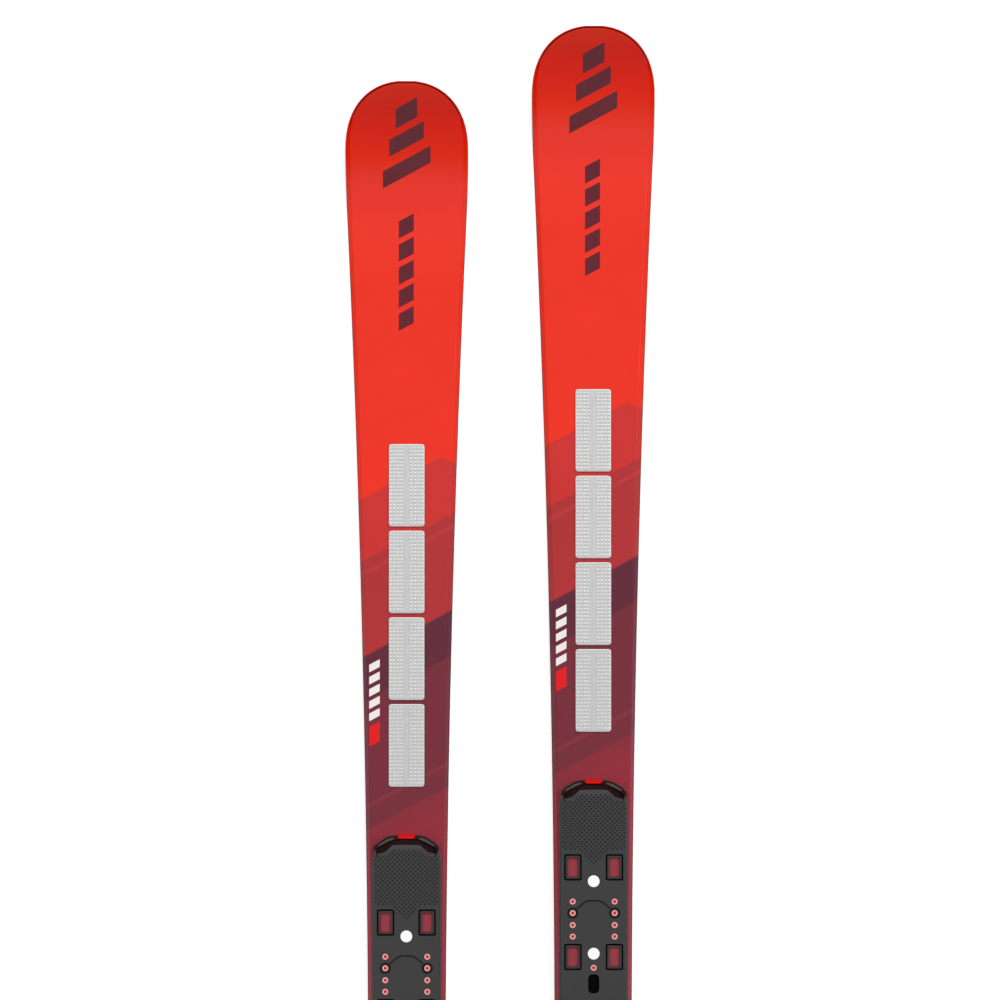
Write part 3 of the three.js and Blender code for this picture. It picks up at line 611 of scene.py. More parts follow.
def shell(rings, across=6):
    """A closed body that follows the ski's outline. rings(station) gives (inset, height) points
    from the middle of its underside, out and round to the middle of its upper side."""
    points, insets, levels, last = [], [], [], len(rings(0)) - 1
    for level in range(last + 1):
        levels.append([])
        for station in stations_to(BODY_END):
            inset, height = rings(station)[level]
            left, right = (rim_point(station, inset, height, flank) for flank in (-1, 1))
            steps = across if level in (0, last) or station == 0 else 1
            levels[level].append(range(len(points), len(points) + steps + 1))
            points += [left.lerp(right, k / steps) for k in range(steps + 1)]
            insets += [inset] * (steps + 1)
    loops = [[*(r[0] for r in reversed(rows)), *rows[0][1:-1], *(r[-1] for r in rows)] for rows in levels]
    bottom, *middle, top = [rows[-1] for rows in levels]
    end = (*bottom, *[r[-1] for r in middle], *reversed(top), *[r[0] for r in reversed(middle)])
    mesh = raw_mesh(points, [*quads(loops), *quads(levels[0]), *quads(levels[last]), end])
    mesh.attributes.new("inset", "FLOAT", "POINT").data.foreach_set("value", insets)
    return mesh


def sidewall_top(station):
    """Height of the seam between the sidewall and the printed top sheet."""
    return EDGE_HEIGHT + 0.4 + 0.36 * (thickness(station) - END_THICKNESS)


def top_sheet_rings(station):
    """A lip and a groove round the tip, which turn into the bevelled shoulder of the body."""
    full, low = thickness(station), sidewall_top(station)
    tip = [
        (3.2, 2.3), (0.2, 2.3), (0.12, 2.5), (0.2, 3.05), (0.5, 3.3), (1.2, 3.3), (1.4, 2.9),
        (1.95, 2.9), (2.15, full - 0.5), (2.5, full - 0.1), (3.3, full), (5.5, full),
    ]
    slope = [(0.5 + 2.9 * t, low + (full - low - 0.75) * t) for t in (0, 0.1, 0.25, 0.5, 0.75, 0.92, 1)]
    body = [(4, low - 0.15), (0.62, low - 0.15), *slope]
    body += [(3.75, full - 0.28), (4.35, full - 0.03), (5.5, full)]
    share = ease((station - 14) / 62)
    return [tuple(lerp(p, q, share) for p, q in zip(a, b)) for a, b in zip(tip, body)]


def base_rings(station):
    inset = EDGE_WIDTH + 0.12
    return [(12, 0), (inset, 0), (inset, 1.2), (12, 1.2)]


def core_rings(station):
    top = thickness(station) - 1.6
    return [(9, 1.4), (5.4, 1.4), (5.4, top), (9, top)]


def edge_section(station):
    return [(0, 0.18), (0, 1.7), (0.18, 1.88), (2, 1.88), (2, 0), (0.14, 0)]


def sidewall_section(station):
    top = max(2.35, sidewall_top(station) - 0.2)
    return [(0.2, 2.05), (0.08, 2.2), (0.14, top - 0.12), (0.4, top), (3.6, top), (3.6, 2.05)]


def rail(section_at, start, round_tip):
    """A bar along the right flank, or up the left one, round the tip and down the right one."""
    stations = stations_to(BODY_END, start)
    route = [(s, 1) for s in stations]
    if round_tip:
        route = [(s, -1) for s in reversed(stations)] + route
    return loft([[tuple(rim_point(s, *point, flank)) for point in section_at(s)] for s, flank in route])


def build_ski():
    finish = {"smooth": 30, "weighted": False, "on_ski": True}
    top = shell(top_sheet_rings)
    insets = top.attributes["inset"].data
    for face in top.polygons:
        mean = sum(insets[i].value for i in face.vertices) / len(face.vertices)
        face.material_index = int(mean < 4.2 and along(face.center.y) > 30)
    wall = rail(sidewall_section, SIDEWALL_FROM, False)
    pieces = {
        "top_sheet": (top, [TOP_SHEET, SHOULDER], "top_laminate"),
        "base": (shell(base_rings), BASE, "running_base"),
        "core": (shell(core_rings), WOOD, "wood_core"),
        "edge": (rail(edge_section, 0, True), STEEL, "steel_edge"),
        "wall_right": (wall, SIDEWALL, "sidewall_right"),
        "wall_left": (flipped(wall), SIDEWALL, "sidewall_left"),
    }
    for name, (mesh, look, node) in pieces.items():
        put(name, mesh, look, node=node, **finish)


def damper_mesh():
    """A foil plate with raised dots in columns on both sides of a plain strip."""
    across, down, level, corner = 84, 190, 1.05, 2.2
    half, length, first, pitch = DAMPER_WIDTH / 2, DAMPER_LENGTH, 3.3, 3
    columns = [*(-13.3 + 3.02 * i for i in range(4)), 3.95, 7.1, 10.1, 13.1]

    def relief(x, y):
        """Dots in each column, with a shallow dip halfway between two of them."""
        for share, radius, lift in ((0, 0.85, 0.14), (0.5, 0.65, -0.14)):
            nearest = round((y - first) / pitch - share) + share
            for column in columns if -0.1 < nearest <= 21 else []:
                gap = math.hypot(x - column, y - first - nearest * pitch) / radius
                if gap < 1:
                    return lift * (1 - gap**3)
        grooved = any(abs(x - line) < 0.22 for line in (1.6, 2.7)) and 8 < y < length - 6
        return -0.12 if grooved else 0

    rows, points = [], []
    for y in (length * j / down for j in range(down + 1)):
        bend = max(0, corner - min(y, length - y))
        reach = half - corner + math.sqrt(max(0, corner**2 - bend**2))
        rows.append(range(len(points), len(points) + across + 1))
        for x in (reach * (2 * i / across - 1) for i in range(across + 1)):
            near = min(y, length - y, reach - abs(x))
            rounding = 0.2 * max(0, 1 - near / 0.4)
            points.append((x, -y, level + relief(x, y) * min(1, near / 0.6) - rounding))
    rim = [*rows[0], *(r[-1] for r in rows[1:]), *reversed(rows[-1][:-1]), *(r[0] for r in rows[-2:0:-1])]
    foot = range(len(points), len(points) + len(rim))
    points += [(points[i][0], points[i][1], 0) for i in rim]
    return raw_mesh(points, [*quads(rows), *quads([rim, foot], True), tuple(foot)])


def build_dampers():
    mesh = fitted(damper_mesh(), [DAMPER], 40, False)
    for number in range(4):
        fore = DAMPER_STATION + number * DAMPER_PITCH
        aft = fore + DAMPER_LENGTH
        slope = math.atan2(deck(aft) - deck(fore), DAMPER_LENGTH)
        lift = (deck(fore) + deck(aft)) / 2 + GAP - 0.05
        centre = Matrix.Translation((0, along((fore + aft) / 2) / 1000, lift / 1000))
        shift = Matrix.Translation((0, DAMPER_LENGTH / 2000, 0))
        name = f"damper_{number + 1}"
        mount(name, mesh, "ski", name, centre @ Matrix.Rotation(-slope, 4, "X") @ shift)


# --- the race plates

FRONT = FRONT_PLATE[0]
WINDOWS = [(x, s) for s in (701, 775.7) for x in (-17.3, 17.3)]
INSERT_X, INSERT_ROWS, PLUGS = 17.5, (729.5, 739.1, 749.1, 758.7), (712.6, 773)
INSERTS = [(x, s) for s in INSERT_ROWS for x in (-INSERT_X, INSERT_X)] + [(0, 784.7)]
NOSE_SLOPE = ((FRONT - 1, -4.2), (FRONT + 5.5, -1.6), (FRONT + 13, 0))


def nose_height(station):
    """Height of the front plate's upper side, which falls away at the nose."""
    for (s0, z0), (s1, z1) in zip(NOSE_SLOPE, NOSE_SLOPE[1:]):
        if station < s1:
            return PLATE_TOP + lerp(z0, z1, (station - s0) / (s1 - s0))
    return PLATE_TOP


def above_nose(offset, reach=40, high=60):
    """Everything that is higher than the nose's slope plus an offset."""
    slope = [(s, nose_height(s) + offset) for s, _ in NOSE_SLOPE]
    ends = [(FRONT + 30, PLATE_TOP + offset), (FRONT + 30, high), (FRONT - 1, high)]
    return profile(slope + ends, -reach, reach)


def plate_section(fore, aft, chamfer=1.6):
    half, top = PLATE_HALF, PLATE_TOP
    corners = [(half, PLATE_BOTTOM), (half, top - chamfer), (half - chamfer, top)]
    return section(both_sides(corners), fore - 1, aft + 1)


def opening(x, station, half_x, half_y, bottom=PLATE_BOTTOM, top=PLATE_TOP):
    """A rectangular body that reaches a millimetre past the two heights."""
    return plan(rectangle(x, station, half_x, half_y, 0.8), bottom - 1, top + 1)


def pits(stations, kept, pitch=3.91):
    """A staggered field of small cone-shaped pits, where kept(x, station) allows them."""
    cones = []
    for row, station in enumerate(stations):
        for x in (pitch * (column + row % 2 / 2) for column in range(-8, 9)):
            if kept(x, station):
                sizes = ((0.8, PLATE_TOP + 0.2), (0.5, PLATE_TOP - 0.55))
                rings = [(circle(radius, x, along(station), 8, math.pi / 8), z) for radius, z in sizes]
                cones.append(loft([[(a, b, z) for a, b in ring] for ring, z in rings]))
    return joined(*cones)


def strip(route, width, bottom, top):
    """Thin bars along a polyline of (x, station) points."""
    parts = []
    for start, end in zip(route, route[1:]):
        ahead = (Vector(end) - Vector(start)).normalized() * width / 2
        side = Vector((-ahead.y, ahead.x))
        a, b = Vector(start) - ahead, Vector(end) + ahead
        corners = [tuple(corner) for corner in (a - side, b - side, b + side, a + side)]
        parts.append(plan(corners, bottom, top))
    return parts


def side_grooves(fore, aft):
    """Long shallow grooves along both sides of a plate."""
    heights = (PLATE_BOTTOM + 4.2, PLATE_BOTTOM + 7.2)
    return pairs(*[block(PLATE_HALF - 0.7, PLATE_HALF + 1, fore, aft, z, z + 1.1) for z in heights])


def seats(radius, places, top=PLATE_TOP, depth=1.6, sides=48):
    """Round pockets with the same radius."""
    return [upright_rod(radius, x, s, top - depth, top + 1, sides) for x, s in places]


def put_plugs(name, stations):
    plugs = [upright_rod(4.95, 0, s, PLATE_TOP - 1.5, PLATE_TOP + 0.1) for s in stations]
    put(name, joined(*[bevelled(plug, 0.35) for plug in plugs]), WHITE_PLUG)


def put_inserts(name, places):
    """Threaded inserts: a collar painted pale pink as highlight, a red core and a small hexagonal hole."""
    rings, cores, top = [], [], PLATE_TOP
    for x, s in places:
        ring = upright_rod(2.45, x, s, top - 1.5, top + 0.05, 32)
        hole = upright_rod(1.45, x, s, top - 0.5, top + 1, 32)
        rings.append(worked(ring, ("cut", hole), ("bevel", 0.16, 2)))
        core = upright_rod(1.38, x, s, top - 0.6, top - 0.15, 32)
        cores.append(carved(core, upright_rod(0.5, x, s, top - 0.4, top + 1, 6)))
    put(f"{name}_rings", joined(*rings), INSERT_RING_HIGHLIGHT)
    put(f"{name}_cores", joined(*cores), RED_INSERT)


def within_outline(x, station, outline):
    """Whether a point lies in a polygon."""
    inside = False
    for (x0, s0), (x1, s1) in zip(outline, outline[1:] + outline[:1]):
        if (s0 > station) != (s1 > station) and x < x0 + (station - s0) * (x1 - x0) / (s1 - s0):
            inside = not inside
    return inside


def paint_regions(mesh, facet=None):
    """Chooses from PLATE_LOOKS: painted shade on deep floors and lighter painted shade on shallow ones.
    The front plate also gets a painted highlight on its facets and painted shade on the nose round them."""
    recess, deep, shallow, nose_slant = 4.4, 0.75, 0.15, 0.53
    for face in mesh.polygons:
        x, station, z = abs(face.center.x), along(face.center.y), face.center.z
        surface = nose_height(station)
        inside = x < PLATE_HALF - 1.7 and station > FRONT + 1.6
        sunk = PLATE_TOP - recess < z < surface - shallow and inside
        band = FRONT + 6 + max(0, x - 10.6) * nose_slant
        floor = sunk and z < surface - deep
        if facet and within_outline(x, station, facet) and surface - 0.5 < z < surface - shallow:
            face.material_index = 2
        elif facet and (station < band and z > surface - recess or floor and station < FRONT + 20):
            face.material_index = 4
        elif sunk:
            face.material_index = 1 if floor else 3
    return mesh


def build_front_plate():
    (fore, aft), half, top = FRONT_PLATE, PLATE_HALF, PLATE_TOP

    def outline(right_side):
        return both_sides(moved(right_side, 0, fore))

    corners = [
        (8, 1.2), (11, 0.9), (16.2, 2.3), (22.6, 6), (26.9, 9.4), (28, 17), (half, 21),
        (half, aft - fore - 8, 4), (half - 7, aft - fore, 4),
    ]
    nose = worked(above_nose(0), ("common", block(-40, 40, fore - 3, fore + 13.4, 20, 60)))
    body = worked(
        plan(outline(corners), PLATE_BOTTOM, top),
        ("common", plate_section(fore, aft)),
        ("cut", nose),
        ("bevel", 0.5, 2, 28),
        ("cut", *[opening(x, s, 5.6, 9.2) for x, s in WINDOWS]),
    )
    # The band's recess across the nose, which paint_regions fills with painted shade.
    band = [
        (0, 4), (10.6, 4), (22, 9.4), (25.2, 12), (25.2, 16), (20.6, 15), (18, 14.2), (11.4, 8.6), (0, 8.2),
    ]
    clip = [(0, -1), (7.6, -1), (7.6, 2), (6.3, 4.4), (0, 4.4)]
    recess, clip_seat = plan(outline(band), top - 3.8, top + 2), plan(outline(clip), top - 5, top + 2)
    # Frame grooves round the windows, whose floors get painted shade.
    frames = []
    for x, s in WINDOWS:
        outer = plan(rectangle(x, s, 7.3, 11, 2), top - 1, top + 1)
        frames.append(carved(outer, opening(x, s, 5.95, 9.6, top - 1, top + 1)))
    # Shallow rings round the second inserts, which paint_regions fills with lighter painted shade.
    halos = seats(4.7, [(x, INSERT_ROWS[1]) for x in (-INSERT_X, INSERT_X)], depth=0.35)
    pockets = [*seats(2.6, INSERTS, sides=32), *seats(5.1, [(0, s) for s in PLUGS])]
    oval = plan(both_sides([(4.6, 790.2, 4), (4.6, 806, 4)]), top - 1.6, top + 1)
    body = carved(body, recess, clip_seat, *frames, *halos, *pockets, oval)
    # Facets on the nose's slope: pockets 0.3 mm deep, which paint_regions gives a painted highlight.
    facet = [(10.6, 2.1), (16.2, 3.7), (22.2, 7.4), (24.4, 9.2), (22.4, 9.2), (16, 5.8), (10.8, 3.7)]
    facet = moved(facet, 0, fore)
    body = carved(body, *pairs(worked(plan(facet, top - 8, top + 3), ("common", above_nose(-0.3)))))
    arch = [(-13.4, 735), (-7.6, 730.2), (-4.6, 728.9), (4.6, 728.9), (7.6, 730.2), (13.4, 735)]
    grooves = strip(arch, 1.3, top - 0.4, top + 1)
    shoulders = strip([(-24.6, fore + 12.2), (-24.6, fore + 17.6)], 0.7, top - 1.2, top + 1)
    body = carved(body, *grooves, *pairs(*shoulders), *side_grooves(fore + 30, aft - 16))

    def kept(x, station):
        first = min(645.5, 637.2 + max(0, abs(x) - 9) * 0.95)
        last = 686.5 + max(0, 12 - abs(x)) * 1.15
        return abs(x) <= 26.6 and first <= station <= last

    body = carved(body, pits([638.68 + row * 1.96 for row in range(32)], kept))
    put("front_plate", paint_regions(body, facet), PLATE_LOOKS, node="front_plate", smooth=30)


def build_front_fittings():
    """The windows' collars and rubbers, the plugs, the inserts and the nose clip."""
    bottom, top = PLATE_BOTTOM, PLATE_TOP
    collars, rubbers = [], []
    for x, s in WINDOWS:
        collar = bevelled(plan(rectangle(x, s, 5.5, 9.1, 1.2), top - 5, top + 0.05), 0.4, 2)
        collars.append(carved(collar, opening(x, s, 4.75, 8.4, top - 5.2, top + 1)))
        rubbers.append(bevelled(opening(x, s, 4.65, 8.3, bottom + 2, top - 3.2), 0.5, 2))
    put("window_collars", joined(*collars), COLLAR)
    put("window_rubbers", joined(*rubbers), WINDOW_RUBBER)
    put_plugs("plugs", PLUGS)
    put_inserts("insert", INSERTS)
    half = moved([(7.2, 0.1, 0.8), (7.4, 1.8, 1), (6, 3.2, 1)], 0, FRONT)
    clip = bevelled(plan(both_sides(half), bottom, top - 2.4), 0.5)
    put("nose_clip_shell", clip, RED_CLIP, node="nose_clip")


def build_rear_plate():
    (fore, aft), half, top = (1058, 1402), PLATE_HALF, PLATE_TOP
    inserts, plugs = [(x, s) for s in (1330, 1348, 1086) for x in (-INSERT_X, INSERT_X)], (1076, 1366)
    corners = [(half - 7, fore, 4), (half, fore + 8, 4), (half, aft - 20, 3), (22, aft - 5, 3), (10, aft, 3)]
    slope = [
        (fore - 1, PLATE_BOTTOM - 1), (fore - 1, top + 1), (aft - 18.7, top + 1),
        (aft - 16, top), (aft + 1, top - 6.4), (aft + 1, PLATE_BOTTOM - 1),
    ]
    body = worked(
        plan(both_sides(corners), PLATE_BOTTOM, top),
        ("common", plate_section(fore, aft)),
        ("common", profile(slope, -half - 1, half + 1)),
        ("bevel", 0.5, 2, 20),
    )
    pockets = [*seats(2.6, inserts, sides=32), *seats(5.1, [(0, s) for s in plugs])]
    arch = strip([(-14, 1318), (-5.2, 1325), (5.2, 1325), (14, 1318)], 0.7, top - 0.5, top + 1)
    body = worked(body, ("cut", *side_grooves(fore + 16, aft - 30), *pockets), ("cut", *arch))

    def kept(x, station):
        return abs(x) < 25 and (1373 < station < 1384 or 1090 < station < 1100)

    body = carved(body, pits([1091.5 + 1.96 * row for row in range(-2, 152)], kept))
    put("rear_plate", paint_regions(body), PLATE_LOOKS, node="rear_plate", smooth=30)
    put_inserts("rear_insert", inserts)
    put_plugs("rear_plugs", plugs)


def build_tail_guard():
    fore, top = BODY_END + GAP + 0.1, END_THICKNESS
    half = half_width(fore)
    guard = plan(both_sides([(half, fore), (half + 0.2, LENGTH, 9)]), 0, top, 12)
    grooves = blocks(-half + 6, half - 6, (1866, 1868.6), 0.9, top - 0.5, top + 1)
    guard = worked(guard, ("bevel", 0.6, 3), ("cut", *grooves))
    for vertex in guard.vertices:
        vertex.co.z += base_height(along(vertex.co.y))
    put("tail_guard", guard, BLACK, node="tail_guard")


# --- screws, springs and indicators


def tube(points, radius, sides):
    """A round wire through points, with flat ends."""
    route = [Vector(point) for point in points]
    before, after = [route[0], *route[:-1]], [*route[1:], route[-1]]
    tangents = [(b - a).normalized() for a, b in zip(before, after)]
    across, rings = tangents[0].orthogonal().normalized(), []
    for i, (centre, tangent) in enumerate(zip(route, tangents)):
        if i:
            across = tangents[i - 1].rotation_difference(tangent) @ across
        up = tangent.cross(across)
        rings.append([tuple(centre + (across * a + up * b) * radius) for a, b in circle(1, sides=sides)])
    return loft(rings)


def coil(radius, wire, fore, aft, height, turns=6, steps=30):
    """A coil spring along the ski, whose first and last turns close up."""
    points = []
    for share in (i / (turns * steps) for i in range(turns * steps + 1)):
        station = lerp(fore + wire, aft - wire, share + 0.045 * math.sin(2 * math.pi * share))
        turn = 2 * math.pi * turns * share
        points.append((radius * math.cos(turn), along(station), height + radius * math.sin(turn)))
    return tube(points, wire, 14)


def bent(route, steps=10):
    """The points of a wire through (x, station, height) places, where a fourth value marks a bend."""
    places = [Vector((x, along(s), z)) for x, s, z, *_ in route]
    points = [places[0]]
    for i in range(1, len(route)):
        bend = len(route[i]) > 3
        points += curve(*places[i - 1 : i + 2], steps)[1:-1] if bend else [places[i]]
    return points


def screw(x, station, top, radius=3.2):
    """The head of a screw with a cross recess."""
    reach, half = radius * 0.62, 0.42
    arms = [(half, half), (reach, half), (reach, -half), (half, -half), (half, -reach), (-half, -reach)]
    cross = [(x + sign * a, station + sign * b) for sign in (1, -1) for a, b in arms]
    head = bevelled(upright_rod(radius, x, station, top - 2.4, top, 32), 0.45, 2)
    return carved(head, plan(cross, top - 1.3, top + 1))


def screw_seats(places, top):
    return seats(3.55, places, top, 1.7, 32)


def put_screws(name, places, top):
    put(name, joined(*[screw(x, s, top - 0.25) for x, s in places]), SCREW_STEEL)


def slotted_plug(radius, fore, aft, height, depth):
    """A round plug with a driver slot in its front end, or in its rear end if the depth is negative."""
    plug = bevelled(long_rod(radius, fore, aft, height), 0.6, 2)
    low, high = (fore - 1, fore + depth) if depth > 0 else (aft + depth, aft + 1)
    return carved(plug, block(-radius - 1, radius + 1, low, high, height - 1, height + 1))


def slanted(start, end, low, high, half):
    """A flat bar over the line between two (station, height) points, from `low` to `high` above it."""
    a, b = Vector(start), Vector(end)
    normal = Vector((a.y - b.y, b.x - a.x)).normalized()
    corners = [a + normal * low, a + normal * high, b + normal * high, b + normal * low]
    return profile([tuple(corner) for corner in corners], -half, half)


def window_pocket(start, end, half):
    return slanted(start, end, -1.5, 6, half)


def put_window(name, start, end, half, body):
    """A release indicator in its pocket on a slope: a pale strip with plain ticks."""
    a, b = Vector(start), Vector(end)

    def bar(first, last, low, high, reach):
        return slanted(a.lerp(b, first), a.lerp(b, last), low, high, reach)

    strip_mesh = bevelled(bar(0.06, 0.94, -3, -1, half - 0.3), 0.15, 1)
    ticks = []
    for index in range(5):
        share, reach = 0.16 + 0.17 * index, half - (1 if index % 2 == 0 else 1.9)
        ticks.append(bar(share - 0.025, share + 0.025, -1.2, -0.88, reach))
    put(f"{name}_strip", strip_mesh, PAD_WHITE, body)
    put(f"{name}_ticks", joined(*ticks), BLACK, body)


# --- the toe piece

TOE_DECK = 41
TOE_PIN_X, TOE_PIN_STATION, TOE_PIN_RADIUS, TOE_BOSS = 19, 884, 2.9, 8
SLOT_BOTTOM, SLOT_TOP = 52, 68
TOE_BORE_RADIUS, TOE_BORE_HEIGHT = 7.6, 56.5
PAD_FORE, PAD_AFT = 925.5, 962


def build_toe_base():
    fore, aft, half, top = 829, 984, 28, TOE_DECK
    corners = [(half - 10, fore, 5), (half, fore + 16, 6), (half, aft - 14, 6), (half - 9, aft, 4)]
    plate = bevelled(plan(both_sides(corners), SEAT, top), 0.9)
    ends = ((PAD_FORE - 4, PAD_FORE - GAP), (PAD_AFT + GAP, PAD_AFT + 4))
    rails = [bevelled(block(-20, 20, *end, top - 1, top + 3.6), 0.7, 2) for end in ends]
    screws = [(-20.5, 914), (20.5, 914), (-16.5, 975.5), (16.5, 975.5)]
    ribs = pairs(*blocks(half - 0.8, half + 1, range(852, 962, 11), 7, SEAT + 2.4, top - 2.2))
    body = worked(plate, ("add", *rails), ("cut", *screw_seats(screws, top), *ribs))
    put("toe_base_plate", body, CAST, node="toe_base")
    put_screws("toe_base_screws", screws, top)


def build_toe_housing():
    fore, aft, floor, seam = 831, 906, TOE_DECK + GAP, 50.4
    side = [
        (fore, floor), (fore - 1, 58, 6), (fore + 8, 70, 6), (fore + 34, 80, 12), (aft - 9, 82, 5),
        (aft, 77, 3), (aft, SLOT_TOP), (aft - 8, SLOT_TOP), (aft - 8, floor),
    ]
    outline = [
        (13, fore - 2, 5), (21, fore + 12, 6), (26, fore + 42, 10), (25, aft - 10, 6), (17, aft + 1, 5),
    ]
    end_view = section(both_sides([(27, floor - 1), (27, 66, 6), (20, 84, 6)]), fore - 3, aft + 3, 12)
    shape = worked(
        profile(side, -27, 27, 12),
        ("common", plan(both_sides(outline), floor - 1, 90, 12)),
        ("common", end_view),
    )
    slot_front, spine = TOE_PIN_STATION - TOE_BOSS - 1.4, TOE_PIN_X - TOE_BOSS - 0.6
    slots = pairs(block(spine, 40, slot_front, aft + 5, SLOT_BOTTOM, SLOT_TOP))
    bore = long_rod(TOE_BORE_RADIUS, fore - 5, 871, TOE_BORE_HEIGHT, 64)
    halves = [block(-40, 40, fore - 9, aft + 9, low, high) for low, high in ((floor - 3, seam), (seam, 95))]
    lower = carved(worked(shape, ("common", halves[0]), ("bevel", 0.6, 3)), bore)
    upper = worked(worked(shape, ("common", halves[1])), ("cut", *slots), ("bevel", 0.7, 3))
    window = ((847, 73.1), (860.5, 78.3), 4.6)
    grooves = []
    for z, depth_x in ((72.4, 23.5), (75.2, 22.4), (78, 21.4)):
        grooves += pairs(profile([(862, z), (892, z), (892, z + 1.1), (862, z + 1.1)], depth_x, 40))
    upper = carved(upper, bore, window_pocket(*window), *grooves)
    put("toe_shell", upper, RED_SHELL, node="toe_housing")
    put("toe_shell_foot", lower, BLACK)
    rod = upright_rod(TOE_PIN_RADIUS, TOE_PIN_X, TOE_PIN_STATION, SLOT_BOTTOM - 2, SLOT_TOP + 2)
    put("toe_pins", joined(*pairs(bevelled(rod, 0.3, 2))), SPRING)
    cap = profile([(869.5, 79), (870, 80.9, 0.4), (893.5, 82.4, 0.6), (895.5, 79)], -8, 8)
    put("toe_cap_strip", bevelled(cap, 0.45), BLACK)
    put_window("toe_window", *window, "ski")
    spring = coil(TOE_BORE_RADIUS - 0.7 - 1.1, 1.1, 843, 868, TOE_BORE_HEIGHT)
    put("toe_coil", spring, SPRING, node="toe_spring", smooth=60, weighted=False)
    plug = slotted_plug(TOE_BORE_RADIUS - 0.5, 832.5, 842, TOE_BORE_HEIGHT, 2.1)
    put("toe_release_plug", plug, CAST, "toe_release_screw", "toe_release_screw")


def build_toe_wings():
    bottom, top = SLOT_BOTTOM + 0.5, SLOT_TOP - 0.5
    pivot = (TOE_PIN_X, TOE_PIN_STATION)
    x, s = pivot
    arm = [
        (-4, 4), (5, -6), (15, 14, 6), (22, 38, 6), (20, 56, 3), (14.5, 56, 2), (12, 42, 4), (3, 30, 4),
        (-3, 24, 3),
    ]
    lip = [(1, 27, 2), (19, 31, 4), (22, 40, 5), (20, 55, 3), (11, 54, 3), (3, 38, 4)]
    lug_space = [(-x - 5, 20), (2, 30), (10.5, 42), (13, 60), (-x - 5, 60)]
    wing = worked(
        plan(moved(arm, *pivot), bottom, top, 12),
        ("add", upright_rod(TOE_BOSS, *pivot, bottom, top, 64)),
        ("add", plan(moved(lip, *pivot), top - 1, top + 6, 12)),
        ("cut", plan(moved(lug_space, *pivot), bottom - 1, top)),
        ("bevel", 0.7, 3),
    )
    hole = upright_rod(TOE_PIN_RADIUS + GAP + 0.1, *pivot, bottom - 1, top + 1)
    grooves = blocks(x + 19.6, x + 30, (s + 38, s + 42, s + 46), 1.2, bottom + 3, top - 1.5)
    wing = carved(wing, hole, *grooves)
    for side, mesh in zip(("right", "left"), pairs(wing)):
        put(f"toe_jaw_{side}", mesh, BLACK, f"toe_wing_{side}", f"toe_wing_{side}")


def build_friction_pad():
    seam, top, half = 45.6, 48, 30

    def plate(inset, low, high, bevel):
        corners = [(half - inset, PAD_FORE + inset, 3), (half - inset, PAD_AFT - inset, 3)]
        return bevelled(plan(both_sides(corners), low, high), bevel)

    grooves = blocks(-25, 25, [930 + 4.6 * i for i in range(7)], 1.3, top - 0.8, top + 1)
    glide = carved(plate(1.4, seam - 0.4, top, 0.5), *grooves)
    put("glide_pad", glide, PAD_WHITE, "friction_pad", "friction_pad")
    put("glide_frame", plate(0, TOE_DECK + GAP, seam, 0.6), BLACK, "friction_pad")


# --- the heel piece

TRACK_TOP = 37.6
HEEL_PIN_STATION, HEEL_PIN_HEIGHT, HEEL_PIN_RADIUS = 1266, 61, 3.7
HEEL_BORE_RADIUS, HEEL_BORE_HEIGHT = 9.6, 78
LEVER_STATION, LEVER_HEIGHT, LEVER_PIN_RADIUS = 1248, 105, 2.4


def track_corners(gap=0):
    """The T-shaped track's section, or with a gap the channel that runs on it."""
    stem, flange, ledge = 17 + gap, 22 + gap, 35.2 - gap
    bottom = SEAT - 1 if gap else SEAT
    return both_sides([(stem, bottom), (stem, ledge), (flange, ledge), (flange, TRACK_TOP + gap)])


def build_heel_track():
    teeth = blocks(-4, 4, range(1184, 1298, 6), 3, TRACK_TOP - 1.2, TRACK_TOP + 1)
    fore, aft = 1162, 1310
    screws = [(x, s) for x in (-12.5, 12.5) for s in (fore + 9, aft - 9)]
    body = bevelled(section(track_corners(), fore, aft), 0.35, 2)
    body = carved(body, *teeth, *screw_seats(screws, TRACK_TOP))
    put("heel_rail", body, CAST, node="heel_track")
    put_screws("heel_rail_screws", screws, TRACK_TOP - 0.2)


def build_heel_carriage():
    fore, aft, half, top = 1180, 1292, 30, 44
    station, height, inner, outer = HEEL_PIN_STATION, HEEL_PIN_HEIGHT, 24.6, 29.6
    screw_radius, screw_bore, screw_fore, screw_height = 2.2, 2.6, 1262, 40.7
    slide = bevelled(section(both_sides([(half, SEAT), (half, top - 3), (half - 3, top)]), fore, aft), 0.7)
    channel = section(track_corners(GAP), fore - 1, aft + 1)
    ear = [
        (station - 20, top - 4), (station - 10, height + 9, 7),
        (station + 10, height + 9, 7), (station + 18, top - 4),
    ]
    ears = [bevelled(profile(ear, *ends, 12), 0.8) for ends in ((-outer, -inner), (inner, outer))]
    bore = long_rod(screw_bore, screw_fore - 2, aft + 1, screw_height, 32)
    ribs = pairs(*blocks(half - 0.8, half + 1, range(1188, 1240, 7), 3.4, SEAT + 2, top - 4.4))
    floor_grooves = blocks(-16, 16, range(1185, 1202, 4), 1.4, top - 0.7, top + 1)
    body = worked(slide, ("add", *ears), ("cut", channel, bore, *ribs, *floor_grooves))
    put("heel_slide", body, BLACK, "heel_carriage", "heel_carriage")
    pin = cross_rod(HEEL_PIN_RADIUS, -inner - 2, inner + 2, station, height)
    head = bevelled(cross_rod(5, outer - 0.6, outer + 0.7, station, height), 0.4, 2)
    put("heel_axle", joined(pin, *pairs(head)), SPRING, "heel_carriage")
    thread = slotted_plug(screw_radius, screw_fore, aft - 1, screw_height, -1.9)
    put("length_spindle", thread, SPRING, "length_screw", "length_screw")


